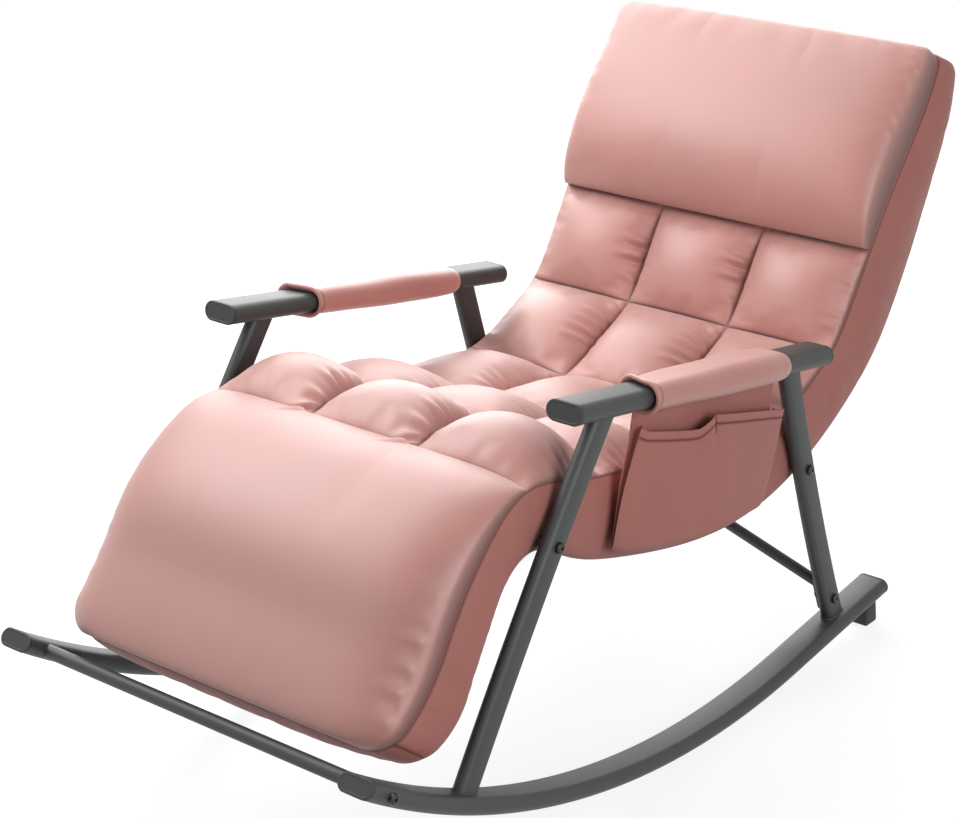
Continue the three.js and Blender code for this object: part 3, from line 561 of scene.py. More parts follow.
def crossStations(settings):
    # shares of the half width, -1 to 1, with narrow steps beside the column seams and the sides
    half = min(settings["seamHalf"])
    last = tuftColumns - 1
    marks = []
    for column in range(tuftColumns):
        low = -1 + column * 2 / tuftColumns
        width = half * 2 / tuftColumns
        steps = gradedMarks(settings, width, settings["acrossCell"], column == 0, column == last)
        marks += [low + step / half for step in (steps if column == last else steps[:-1])]
    marks[-1] = 1.0
    return np.array(marks)


def crownAt(row, share, across):
    # how proud the cover stands, as a share of the row's crown
    first, last = row["rise"]
    along = max(math.sin(math.pi * share), 0.0) ** (first + (last - first) * share)
    if row["columns"] == 1:
        side = np.maximum(np.cos(across * math.pi / 2), 0) ** row["side"]
    else:
        column = np.clip((across + 1) / 2 * tuftColumns, 0, 2.9999999)
        outward = np.clip((np.abs(across) - 0.6667) / 0.3333, 0, 1)
        power = row["side"] + (row["outer"] - row["side"]) * outward
        side = np.maximum(np.sin(math.pi * (column - np.floor(column))), 0) ** power
    return along * side


def padLines(settings):
    # the side view and the widths as smooth curves over the places along the pad
    seamLine, backLine = np.array(settings["seamLine"]), np.array(settings["backLine"])
    toBack = backLine - seamLine
    toBack /= np.linalg.norm(toBack, axis=1)[:, None]
    backLine = backLine + toBack * np.array(settings["backOut"])[:, None]
    footward = seamLine[0] - seamLine[1]
    reach = footward / np.linalg.norm(footward) * settings["endReach"]
    seamLine[0] += reach
    backLine[0] += reach
    widths = np.column_stack(
        [settings["seamHalf"], settings["backHalf"], settings["seamDrop"], settings["sideBulge"]])
    return splineThrough(seamLine), splineThrough(backLine), splineThrough(widths)


def addPoint(form, x, place, gap, sewn, swell, run=-1.0):
    # a point with its distance from the next seam, whether it is sewn down, how much it swells, and how far
    # from the foot it lies if it is on the upper side
    for name, value in zip(form, ((x, place[0], place[1]), gap, sewn, swell, run)):
        form[name].append(value)
    return len(form["points"]) - 1


def padSection(settings, lines, station, starts):
    # where a section lies, its directions, and its half widths with the corners rounded in plan
    seamAt, backAt, widthAt = lines
    t, step = station["t"], settings["slopeStep"]
    line, back = seamAt(t)[0], backAt(t)[0]
    seamHalf, backHalf, drop, bulge = widthAt(t)[0]
    ahead = seamAt(min(t + step, padRows[-1]["to"]))[0] - seamAt(max(t - step, 0))[0]
    ahead /= np.linalg.norm(ahead)
    up = np.array([-ahead[1], ahead[0]])
    if up @ (line - back) < 0:
        up = -up
    distance = starts[station["row"]] + station["run"]
    for gap, radius in ((distance, settings["footCorner"]), (starts[-1] - distance, settings["headCorner"])):
        if gap < radius:
            inset = radius - math.sqrt(radius ** 2 - (radius - gap) ** 2)
            seamHalf -= inset
            backHalf -= inset
    top = line + (back - line) * drop
    return {"line": line, "back": back, "edge": top, "drop": drop, "bulge": bulge, "ahead": ahead, "up": up,
            "seamHalf": seamHalf, "backHalf": backHalf, "distance": distance,
            "depth": float(np.linalg.norm(back - top))}


def addTop(settings, form, section, station, across, sewn):
    # points across the upper side, proud of the seam line between the row and column seams
    row, share = padRows[station["row"]], station["share"]
    nextRow = padRows[min(station["row"] + 1, len(padRows) - 1)]
    line, back, seamHalf = section["line"], section["back"], section["seamHalf"]
    full = crownAt(row, share, across)
    tufted = row["columns"] == tuftColumns
    endRow = min(share, 1 - share) * station["length"]
    rowDark = (row if share < 0.5 else nextRow)["dark"]
    toColumn = np.min(np.abs(across[:, None] - np.array([-1 / 3, 1 / 3])), axis=1) * seamHalf
    toSide = (1 - np.abs(across)) * seamHalf
    leanBack = row["lean"][0] * math.exp(-station["run"] / settings["leanFade"])
    leanOn = row["lean"][1] * math.exp(-(station["length"] - station["run"]) / settings["leanFade"])
    indices = []
    for i, u in enumerate(across):
        proud = row["crown"] * full[i]
        if 0 < i < len(across) - 1 and tufted:
            proud -= settings["channel"] * (1 - full[i]) * min(1, toSide[i] / settings["channelFade"])
        place = line + section["up"] * proud + section["ahead"] * (leanOn - leanBack) * full[i] ** 0.5
        place = place + (back - line) * section["drop"] * abs(u) ** settings["shoulder"]
        held = min(endRow, toSide[i], toColumn[i] if tufted else 1)
        # distance from the nearest seam: the leather paints seam shade where it nears zero
        gap = min(endRow + rowDark, toSide[i])
        if tufted:
            gap = min(gap, toColumn[i] + settings["columnDark"])
        indices.append(addPoint(form, u * seamHalf, place, gap, held < sewn, row["swell"],
                                section["distance"]))
    return indices


def addSide(settings, form, section, sign, sewn, shares):
    # points of the side panel at shares of its height, from the seam down to the back edge
    edge, back, depth = section["edge"], section["back"], section["depth"]
    seamHalf, backHalf = section["seamHalf"], section["backHalf"]
    radius = settings["backCornerRadius"]
    toCorner = abs(section["distance"] - settings["cornerSeam"]) + settings["cornerDark"]
    indices = []
    for h in shares:
        base = seamHalf + (backHalf - seamHalf) * h
        bulge = math.sin(math.pi * min(h * settings["bulgeEnd"], 1)) ** settings["bulgePower"]
        rounding = radius - math.sqrt(max(radius ** 2 - max(radius - depth * (1 - h), 0) ** 2, 0))
        gap = min(depth * h, toCorner)
        held = gap < sewn or h > settings["sideHeld"]
        indices.append(addPoint(form, sign * (base + section["bulge"] * bulge - rounding),
                                edge + (back - edge) * h, gap, held, settings["sideSwell"]))
    return indices


def addBack(settings, form, section, shares):
    # points across the slightly rounded back
    outward = (section["back"] - section["edge"]) / section["depth"]
    half = section["backHalf"] - settings["backCornerRadius"]
    return [addPoint(form, u * half, section["back"] + outward * settings["backBelly"] * (1 - u ** 2), 1.0,
                     True, 0) for u in shares]


def closeEnd(settings, form, ring, across, belowIndex, outward, flip):
    # an end panel: its columns follow the top, its last row meets the back's wider steps
    flatness, endPower = settings["endPowers"]
    heldBefore, heldAfter = settings["endHeld"]
    last = len(across) - 1
    columns = []
    for i, u in enumerate(across):
        column = [ring["top"][i]]
        edgeDrop = ring["drop"] * abs(u) ** settings["shoulder"]
        for step, h in enumerate(settings["sideShares"] if 0 < i < last else ()):
            down = edgeDrop + (1 - edgeDrop) * h
            swell = settings["endBulge"] * math.sin(math.pi * h) ** settings["bulgePower"] \
                * (1 - u ** flatness) ** endPower
            place = ring["line"] + (ring["back"] - ring["line"]) * down + outward * swell
            gap = min(ring["endDepth"] * h, (1 - abs(u)) * ring["seamHalf"] + settings["endSeamOff"])
            column.append(addPoint(form, u * form["points"][ring["left"][step]][0], place, gap,
                                   h > heldAfter or h < heldBefore, settings["endSwell"]))
        columns.append(column)
    columns[0] += reversed(ring["right"])
    columns[last] += ring["left"]
    faces = [(columns[i][j], columns[i][j + 1], columns[i + 1][j + 1], columns[i + 1][j])
             for i in range(last) for j in range(len(columns[0]) - 1)]
    belowByTop = dict(zip(belowIndex, reversed(ring["below"])))
    for a, b in zip(belowIndex[:-1], belowIndex[1:]):
        edge = [columns[i][-1] for i in range(a, b + 1)]
        faces.append((belowByTop[a], belowByTop[b], *reversed(edge)))
    return [face[::-1] for face in faces] if flip else faces


def buildPadForm(settings):
    lines = padLines(settings)
    stations = padStations(settings, lines[0])
    across = crossStations(settings)
    lengths = [next(s["length"] for s in stations if s["row"] == r) for r in range(len(padRows))]
    starts = np.cumsum([0, *lengths])
    belowIndex = [*range(0, len(across) - 1, settings["backEvery"]), len(across) - 1]
    sideShares = settings["sideShares"]
    sewn = settings["lip"] * settings["sewnLips"]
    form = {"points": [], "seam": [], "sewn": [], "swell": [], "run": []}
    rings = []
    for station in stations:
        section = padSection(settings, lines, station, starts)
        # over the top, left side down, back across, right side up
        section["top"] = addTop(settings, form, section, station, across, sewn)
        section["left"] = addSide(settings, form, section, 1, sewn, sideShares)
        section["below"] = addBack(settings, form, section, [across[i] for i in reversed(belowIndex)])
        section["right"] = addSide(settings, form, section, -1, sewn, sideShares[::-1])
        section["endDepth"] = float(np.linalg.norm(section["back"] - section["line"]))
        rings.append(section)
    faces = []
    loops = [ring["top"] + ring["left"] + ring["below"] + ring["right"] for ring in rings]
    for first, second in zip(loops[:-1], loops[1:]):
        count = len(first)
        faces += [(first[j], first[(j + 1) % count], second[(j + 1) % count], second[j])
                  for j in range(count)]
    faces += closeEnd(settings, form, rings[0], across, belowIndex, -rings[0]["ahead"], False)
    faces += closeEnd(settings, form, rings[-1], across, belowIndex, rings[-1]["ahead"], True)
    piece = meshFrom("seat_pad", form["points"], faces)
    # the seam distance sets where the leather paints seam shade
    setValues(piece, "seamDistance", form["seam"])
    setValues(piece, "runAt", form["run"])
    setValues(piece, "sideCell", [float(run < 0) for run in form["run"]])
    turnOutward(piece)
    return piece, np.array(form["sewn"]), np.array(form["swell"]), starts


def getPlaces(mesh):
    places = np.zeros(len(mesh.vertices) * 3)
    mesh.vertices.foreach_get("co", places)
    return places.reshape(-1, 3)


def setPlaces(mesh, places):
    mesh.vertices.foreach_set("co", np.ascontiguousarray(places, np.float32).ravel())
    mesh.update()


swellSettings = {
    "cloth": {"quality": 6, "mass": 0.35, "tension_stiffness": 25, "compression_stiffness": 25,
              "shear_stiffness": 12, "bending_stiffness": 2.0, "shrink_min": -0.04, "shrink_max": -0.04,
              "use_pressure": True, "uniform_pressure_force": 4.0, "vertex_group_mass": "sewn"},
    "frames": 20,
    "most": 0.011,  # no point moves further than this
}


def inflate(piece, pinned, swelling):
    # sewn seams stay where they are, and the cover between them swells and puckers
    mesh = piece.data
    before = getPlaces(mesh)
    group = piece.vertex_groups.new(name="sewn")
    group.add([int(i) for i in np.nonzero(pinned)[0]], 1.0, "REPLACE")
    cloth = piece.modifiers.new("cloth", "CLOTH")
    for name, value in swellSettings["cloth"].items():
        setattr(cloth.settings, name, value)
    cloth.settings.effector_weights.gravity = 0
    cloth.collision_settings.use_collision = False
    cloth.point_cache.frame_start = 1
    cloth.point_cache.frame_end = swellSettings["frames"]
    scene = bpy.context.scene
    for step in range(1, swellSettings["frames"] + 1):
        scene.frame_set(step)
    shown = piece.evaluated_get(bpy.context.evaluated_depsgraph_get())
    move = getPlaces(shown.data) - before
    piece.modifiers.remove(cloth)
    piece.vertex_groups.remove(group)
    scene.frame_set(1)
    size = np.linalg.norm(move, axis=1)
    print("pad moved, mm: mean and most", np.round([size.mean() * 1000, size.max() * 1000], 1))
    most = swellSettings["most"]
    scale = np.where(size > 1e-9, most * np.tanh(size / most) / np.maximum(size, 1e-9), 0) * swelling
    setPlaces(mesh, before + move * scale[:, None])


foldSettings = {
    "weights": (1.0, 0.7, 0.85, 0.55, 0.75),
    # folds beside the column seams: row, share along it, side of the seam, how many, apart, fan, tilt,
    # height, width, length
    "columns": [
        (1, 0.12, -1, 3, 0.014, 0.35, -0.45, 0.0062, 0.0055, 0.05),
        (1, 0.56, -1, 4, 0.014, 0.16, 0.1, 0.0060, 0.0056, 0.05),
        (1, 0.2, 1, 2, 0.013, 0.2, 0.5, 0.0016, 0.006, 0.03),
        (2, 0.16, -1, 2, 0.013, 0.2, -0.3, 0.0030, 0.0055, 0.036),
        (2, 0.72, -1, 3, 0.014, 0.15, 0.2, 0.0024, 0.0055, 0.034),
        (3, 0.3, -1, 3, 0.015, 0.18, -0.1, 0.0050, 0.0056, 0.046),
        (3, 0.82, -1, 2, 0.013, 0.2, 0.4, 0.0024, 0.0055, 0.034),
        (4, 0.56, -1, 4, 0.016, 0.14, -0.05, 0.0052, 0.0058, 0.05),
        (4, 0.9, -1, 2, 0.013, 0.3, 0.5, 0.0024, 0.0055, 0.034),
        (5, 0.52, -1, 2, 0.022, 0.12, -0.05, 0.0060, 0.0062, 0.046),
        (5, 0.2, -1, 1, 0.02, 0.1, 0.3, 0.0018, 0.006, 0.036),
        (5, 0.86, -1, 1, 0.02, 0.1, -0.4, 0.0022, 0.006, 0.036),
        (4, 0.42, 1, 2, 0.018, 0.15, 0.1, 0.0014, 0.0065, 0.03),
        (5, 0.34, 1, 2, 0.02, 0.1, 0.1, 0.0014, 0.0065, 0.03),
    ],
    # folds beside the side seams: row, share, how many, apart, fan, height, width, length
    "sides": [
        (0, 0.1, 1, 0.02, 0.0, 0.0014, 0.009, 0.03), (0, 0.19, 1, 0.02, 0.0, 0.0024, 0.008, 0.036),
        (0, 0.27, 1, 0.02, 0.0, 0.0015, 0.007, 0.03), (0, 0.36, 1, 0.02, 0.0, 0.0022, 0.008, 0.036),
        (0, 0.5, 1, 0.02, 0.0, 0.0010, 0.009, 0.03), (1, 0.55, 3, 0.016, 0.1, 0.003, 0.006, 0.036),
        (2, 0.3, 3, 0.016, 0.1, 0.003, 0.006, 0.036), (3, 0.5, 2, 0.016, 0.1, 0.0016, 0.006, 0.03),
        (4, 0.5, 2, 0.018, 0.1, 0.0016, 0.006, 0.03), (5, 0.28, 2, 0.018, 0.1, 0.0018, 0.006, 0.034),
        (5, 0.6, 2, 0.018, 0.1, 0.0014, 0.006, 0.03), (6, 0.6, 3, 0.024, 0.06, 0.0014, 0.008, 0.034),
        (6, 0.84, 2, 0.022, 0.1, 0.0016, 0.008, 0.03),
    ],
    "farShare": 0.3,  # the far side's folds are shallower, and its outline stays even
    "valley": 0.38,  # depth of the valleys beside a ridge, and their distance from it in widths
    "valleyAt": 1.7,
    "bodyShares": (0.14, 0.2, 0.45),  # of the length: full from here, fading from here, over this much
    "columnShift": 0.004,
    "sideReach": 0.002,
    "seamClear": 0.004,
}


def foldLift(off, along, height, width, length):
    # one fold: a rounded ridge with a shallow valley on each side, fading away from its seam
    ridge = np.exp(-(along / width) ** 2)
    for sign in (-1, 1):
        beside = along + sign * foldSettings["valleyAt"] * width
        ridge -= foldSettings["valley"] * np.exp(-(beside / width) ** 2)
    full, fading, fade = foldSettings["bodyShares"]
    body = np.exp(-(np.clip(off - fading * length, 0, None) / (fade * length)) ** 2)
    return height * ridge * (np.clip(off / (full * length), 0, 1) * body)


def addFolds(piece, starts):
    settings = foldSettings
    mesh = piece.data
    places = getPlaces(mesh)
    runs = getValues(mesh, "runAt")
    normals = np.zeros(len(mesh.vertices) * 3, np.float32)
    mesh.vertex_normals.foreach_get("vector", normals)
    normals = normals.reshape(-1, 3)
    half = padSettings["seamHalf"][8]
    weights = settings["weights"]
    lift = np.zeros(len(runs))

    def folds(row, share, count, apart, shift):
        # each fold of a group: where it starts along the pad, its place in the fan and its number
        for step in range(count):
            place = step - (count - 1) / 2
            yield starts[row] + (starts[row + 1] - starts[row]) * share + place * apart + shift, place, step

    for index, column in enumerate((-half / tuftColumns, half / tuftColumns)):
        for row, share, side, count, apart, fan, tilt, height, width, length in settings["columns"]:
            off = (places[:, 0] - column) * side
            for centre, place, step in folds(row, share, count, apart, settings["columnShift"] * index):
                along = runs - centre - off * (tilt + fan * place)
                strength = height * weights[(step + row + index) % len(weights)]
                lift += np.where(off > 0, foldLift(off, along, strength, width, length), 0)
    off = half + settings["sideReach"] - np.abs(places[:, 0])
    near = np.where(places[:, 0] > 0, 1, settings["farShare"])
    for row, share, count, apart, fan, height, width, length in settings["sides"]:
        for centre, place, step in folds(row, share, count, apart, 0):
            along = runs - centre - off * fan * place
            strength = height * weights[(step + row) % len(weights)]
            lift += foldLift(np.maximum(off, 0), along, strength, width, length) * near
    gap = getValues(mesh, "seamDistance")
    lift *= np.clip(gap / settings["seamClear"], 0, 1) * (runs >= 0)
    setPlaces(mesh, places + normals * lift[:, None])


seatPad, padPinned, padSwelling, padStarts = buildPadForm(padSettings)
print("pad form:", len(seatPad.data.vertices), "points")
inflate(seatPad, padPinned, padSwelling)
subdivide = seatPad.modifiers.new("fine", "SUBSURF")
subdivide.levels = subdivide.render_levels = 1
makeActive(seatPad)
bpy.ops.object.modifier_apply(modifier=subdivide.name)
addFolds(seatPad, padStarts)
for polygon in seatPad.data.polygons:
    polygon.use_smooth = True
sideFaces = getValues(seatPad.data, "sideCell")
finishPiece(seatPad, pinkLeather, "upholstery", "leg_rest_cushion", "seat_cushion", "back_cushion",
            "head_cushion", "foam_slab", "seat_under_cover")
# the sides and back get the flat cloth, whose darker colour is painted shade
seatPad.data.materials.append(shadedFlatLeather)
for polygon in seatPad.data.polygons:
    corners = [sideFaces[i] for i in polygon.vertices]
    polygon.material_index = 1 if sum(corners) > len(corners) / 2 else 0
print("pad done")


# Frame tubes: drawn as open rings, turned and extruded, then closed
frameSettings = {
    "sideX": 0.29,
    "runnerCentre": (0.09123, 1.37309),  # Y and Z of the middle of the curve
    "runnerRadius": 1.361,
    "runnerStart": -34.875,  # degrees before the lowest point
    "runnerTurn": 41.85,
    "runnerSteps": 60,
    "runnerTail": 0.258,
    "runnerSize": (0.052, 0.025),
    "legSize": (0.020, 0.040),
    "frontLeg": ((-0.4978, 0.1461), (-0.2088, 0.5801), 0.005),  # foot, head, bow
    "rearLeg": ((0.3972, 0.0394), (0.2222, 0.5087), 0.0075),
    "legSteps": 12,
    "armFront": (-0.2928, 0.594),
    "armFall": 9.4,
    "armLength": 0.6,
    "armSize": (0.055, 0.028),
    "ringPoints": 40,
    "capThickness": 0.004,
    "capProud": 0.0004,  # wider than the tube by this much
    "capRim": 0.0032,
    "capDish": (0.0007, 0.0006),  # step across and down
    "capRound": 0.0011,
    "capGap": 0.0003,
    "weld": 0.0017,
    "weldPoints": 64,
    "weldRipples": ((0.16, 1.9), (0.1, 0.7)),
}


def ovalRing(name, size):
    # an open flat oval in the XY plane: half circles drawn apart
    width, height = size
    radius = min(size) / 2
    apart = Vector((width / 2 - radius, height / 2 - radius, 0))
    piece = newPiece(name, bpy.ops.mesh.primitive_circle_add, vertices=frameSettings["ringPoints"],
                     radius=radius)
    editMode(piece)
    for sign in (1, -1):
        selectWhere(piece, lambda place: sign * place.dot(apart) > 1e-7)
        bpy.ops.transform.translate(value=apart * sign)
    leaveEdit()
    return piece


def turnTo(piece, place, degrees):
    # stands the ring up: its height then leans back by the angle, seen from the side
    piece.rotation_euler = (math.radians(90 + degrees), 0, 0)
    piece.location = place
    applyPlace(piece)


def closeEnds(piece):
    selectAll()
    bpy.ops.mesh.fill_holes(sides=0)
    turnOutward(piece)


def onRunner(degrees, lift=0.0):
    angle = math.radians(degrees)
    reach = frameSettings["runnerRadius"] - lift
    centreY, centreZ = frameSettings["runnerCentre"]
    return Vector((0, centreY + reach * math.sin(angle), centreZ - reach * math.cos(angle)))


def alongTube(degrees):
    slope = math.radians(degrees)
    return Vector((0, math.cos(slope), math.sin(slope)))


def buildRunner(side, sign):
    settings = frameSettings
    piece = ovalRing(f"runner_tube_{side}", settings["runnerSize"])
    turnTo(piece, onRunner(settings["runnerStart"]) + Vector((sign * settings["sideX"], 0, 0)),
           settings["runnerStart"])
    editMode(piece)
    selectAll()
    centreY, centreZ = settings["runnerCentre"]
    bpy.ops.mesh.spin(steps=settings["runnerSteps"], angle=-math.radians(settings["runnerTurn"]),
                      center=(sign * settings["sideX"], centreY, centreZ), axis=(1, 0, 0))
    extrude(alongTube(settings["runnerStart"] + settings["runnerTurn"]) * settings["runnerTail"])
    closeEnds(piece)
    smooth(piece)
    return finishPiece(piece, tubePaint, "painted_steel", f"runner_{side}")


def buildLeg(which, side, sign):
    settings = frameSettings
    (footY, footZ), (headY, headZ), bow = settings[f"{which}Leg"]
    foot = Vector((sign * settings["sideX"], footY, footZ))
    head = Vector((sign * settings["sideX"], headY, headZ))
    chord = head - foot
    ahead = Vector((0, -chord.z, chord.y)).normalized()  # the side it bows to
    if ahead.y > 0:
        ahead = -ahead
    radius = chord.length ** 2 / (8 * bow) + bow / 2
    turn = 2 * math.asin(chord.length / 2 / radius)
    middle = (foot + head) / 2 + ahead * (bow - radius)
    heading = math.degrees(math.atan2(chord.z, chord.y))
    piece = ovalRing(f"{which}_leg_tube_{side}", settings["legSize"])
    # the ring looks along the leg: its depth lies square to the heading
    sense = 1 if (foot - middle).cross(head - middle).x > 0 else -1
    turnTo(piece, foot, heading - sense * math.degrees(turn) / 2)
    editMode(piece)
    selectAll()
    bpy.ops.mesh.spin(steps=settings["legSteps"], angle=-sense * turn, center=middle, axis=(1, 0, 0))
    closeEnds(piece)
    smooth(piece)
    return finishPiece(piece, tubePaint, "painted_steel", f"{which}_leg_{side}")


def armPlace(along, below=0.0):
    fall = math.radians(frameSettings["armFall"])
    frontY, frontZ = frameSettings["armFront"]
    return Vector((0, frontY + along * math.cos(fall) - below * math.sin(fall),
                   frontZ - along * math.sin(fall) - below * math.cos(fall)))


def buildArm(side, sign):
    settings = frameSettings
    piece = ovalRing(f"arm_tube_{side}", settings["armSize"])
    turnTo(piece, armPlace(0) + Vector((sign * settings["sideX"], 0, 0)), -settings["armFall"])
    editMode(piece)
    selectAll()
    extrude(armPlace(settings["armLength"]) - armPlace(0))
    closeEnds(piece)
    smooth(piece)
    return finishPiece(piece, tubePaint, "painted_steel", f"arm_{side}")


def buildCap(name, size, place, degrees, outward, node):
    # a plate with rounded edges and a shallow dish in its face
    settings = frameSettings
    thickness, proud = settings["capThickness"], settings["capProud"]
    dishStep, dishDepth = settings["capDish"]
    piece = ovalRing(name, (size[0] + proud, size[1] + proud))
    editMode(piece)
    selectAll()
    bpy.ops.mesh.edge_face_add()
    extrude((0, 0, thickness))
    selectWhere(piece, lambda middle: middle.z > thickness * 0.9, "FACE")
    bpy.ops.mesh.inset(thickness=settings["capRim"], depth=0)
    bpy.ops.mesh.inset(thickness=dishStep, depth=-dishDepth)
    turnOutward(piece)
    addBevel(piece, settings["capRound"], 3, 60)
    turnTo(piece, place, degrees + (180 if outward < 0 else 0))
    smooth(piece, 30)
    return finishPiece(piece, capPlastic, "cap_plastic", node)


def weldBead(name, x, size, place, heading, surface):
    # a bead of weld that follows the leg's outline where it meets the surface
    points = []
    along = Vector((0, math.cos(heading), math.sin(heading)))
    across = Vector((0, -math.sin(heading), math.cos(heading)))
    radius = min(size) / 2
    flat = size[1] / 2 - radius
    count = frameSettings["weldPoints"]
    (coarse, coarseTurn), (fine, fineTurn) = frameSettings["weldRipples"]
    for step in range(count):
        angle = step / count * 2 * math.pi
        point = (Vector((x, place.y, place.z)) + Vector((radius * math.cos(angle), 0, 0))
                 + across * (radius * math.sin(angle) + math.copysign(flat, math.sin(angle))))
        points.append(point + along * surface(point, along))
    curveData = bpy.data.curves.new(name, "CURVE")
    curveData.dimensions = "3D"
    curveData.bevel_depth = frameSettings["weld"]
    curveData.bevel_resolution = 3
    line = curveData.splines.new("POLY")
    line.points.add(len(points) - 1)
    for step, (spot, point) in enumerate(zip(line.points, points)):
        spot.co = (*point, 1)
        spot.radius = 1 + coarse * math.sin(step * coarseTurn) + fine * math.sin(step * fineTurn)
    line.use_cyclic_u = True
    bead = bpy.data.objects.new(name, curveData)
    bpy.context.scene.collection.objects.link(bead)
    makeActive(bead)
    bpy.ops.object.convert(target="MESH")
    bead = bpy.context.object
    smooth(bead, 60)
    return finishPiece(bead, tubePaint, "painted_steel")


def toRunnerTop(point, along):
    # how far along the leg the runner's upper face is
    centre = Vector((point.x, *frameSettings["runnerCentre"]))
    reach = frameSettings["runnerRadius"] - frameSettings["runnerSize"][1] / 2
    offset = point - centre
    half = offset.dot(along)
    rest = offset.length_squared - reach ** 2
    root = math.sqrt(half ** 2 - rest)
    return min((-half + root, -half - root), key=abs)


def toRunnerTail(point, along):
    # the same where the runner runs straight
    slope = math.radians(frameSettings["runnerStart"] + frameSettings["runnerTurn"])
    up = Vector((0, -math.sin(slope), math.cos(slope)))
    start = onRunner(frameSettings["runnerStart"] + frameSettings["runnerTurn"])
    top = start + up * (frameSettings["runnerSize"][1] / 2)
    return (top - point).dot(up) / along.dot(up)


def toArmBottom(point, along):
    under = armPlace(0, frameSettings["armSize"][1] / 2)
    down = armPlace(0, 1) - armPlace(0)
    return (under - Vector((0, point.y, point.z))).dot(down) / along.dot(down)


def legHeading(which, atHead):
    (footY, footZ), (headY, headZ), bow = frameSettings[f"{which}Leg"]
    length = math.hypot(headY - footY, headZ - footZ)
    tilt = 4 * bow / length
    base = math.atan2(headZ - footZ, headY - footY)
    return base - tilt if atHead else base + tilt


def buildSide(side, sign):
    settings = frameSettings
    aside = Vector((sign * settings["sideX"], 0, 0))
    buildRunner(side, sign)
    buildArm(side, sign)
    for which, footSurface in (("front", toRunnerTop), ("rear", toRunnerTail)):
        buildLeg(which, side, sign)
        foot, head = settings[f"{which}Leg"][:2]
        for end, place, surface in (("foot", foot, footSurface), ("head", head, toArmBottom)):
            weldBead(f"{end}_weld_{which}_{side}", aside.x, settings["legSize"], Vector((0, *place)),
                     legHeading(which, end == "head"), surface)
    gap = settings["capGap"]
    start = settings["runnerStart"]
    slope = start + settings["runnerTurn"]
    fall = settings["armFall"]
    tail = alongTube(slope) * (settings["runnerTail"] + gap)
    for tube, end, place, degrees, outward in (
            ("runner", "front", onRunner(start) + aside - alongTube(start) * gap, start, 1),
            ("runner", "rear", onRunner(slope) + tail + aside, slope, -1),
            ("arm", "front", armPlace(-gap) + aside, -fall, 1),
            ("arm", "rear", armPlace(settings["armLength"] + gap) + aside, -fall, -1)):
        buildCap(f"{tube}_end_{end}_{side}", settings[f"{tube}Size"], place, degrees, outward,
                 f"{tube}_cap_{end}_{side}")


for side, sign in sides:
    buildSide(side, sign)
print("tubes, welds and end caps done")


# Cross tube, rear brace, bolts and stops
crossSettings = {"place": (-0.6555, 0.2352), "radius": 0.0095, "half": 0.277, "ringPoints": 32}


def buildCrossTube():
    settings = crossSettings
    piece = newPiece("cross_tube", bpy.ops.mesh.primitive_circle_add, vertices=settings["ringPoints"],
                     radius=settings["radius"])
    piece.rotation_euler = (0, math.radians(90), 0)
    piece.location = (-settings["half"], *settings["place"])
    applyPlace(piece)
    editMode(piece)
    selectAll()
    extrude((2 * settings["half"], 0, 0))
    closeEnds(piece)
    smooth(piece)
    finishPiece(piece, tubePaint, "painted_steel", "front_cross_tube")


braceSettings = {
    "footHeight": 0.109,
    "size": (0.014, 0.026),
    "end": 0.2782,
    "rise": 0.106,
    "shoulder": 0.062,
    "bendRun": 0.038,
    "bendSteps": 8,
    "groove": 0.0032,
    "grooveUp": 0.0035,
    "grooveCuts": 5,
    "grooveSteps": ((0.0034, 0.35), (0.0019, 0.65)),  # half height and share of the depth
    "plate": (0.003, 0.026),
    "plateSpan": (-0.046, 0.018),
    "plateX": 0.2782,
    "plateCorner": 0.006,
    "plateEdge": 0.0005,
}


def rearLegAt(height):
    # place and heading on the rear leg's middle line at a height
    (footY, footZ), (headY, headZ), bow = frameSettings["rearLeg"]
    share = (height - footZ) / (headZ - footZ)
    bowed = 4 * bow * share * (1 - share)
    length = math.hypot(headY - footY, headZ - footZ)
    across = Vector((0, -(headZ - footZ), headY - footY)) / length
    place = Vector((0, footY + share * (headY - footY), footZ + share * (headZ - footZ))) + across * bowed
    tilt = 4 * bow * (1 - 2 * share) / length
    heading = math.atan2(headZ - footZ, headY - footY) + tilt
    return place, heading


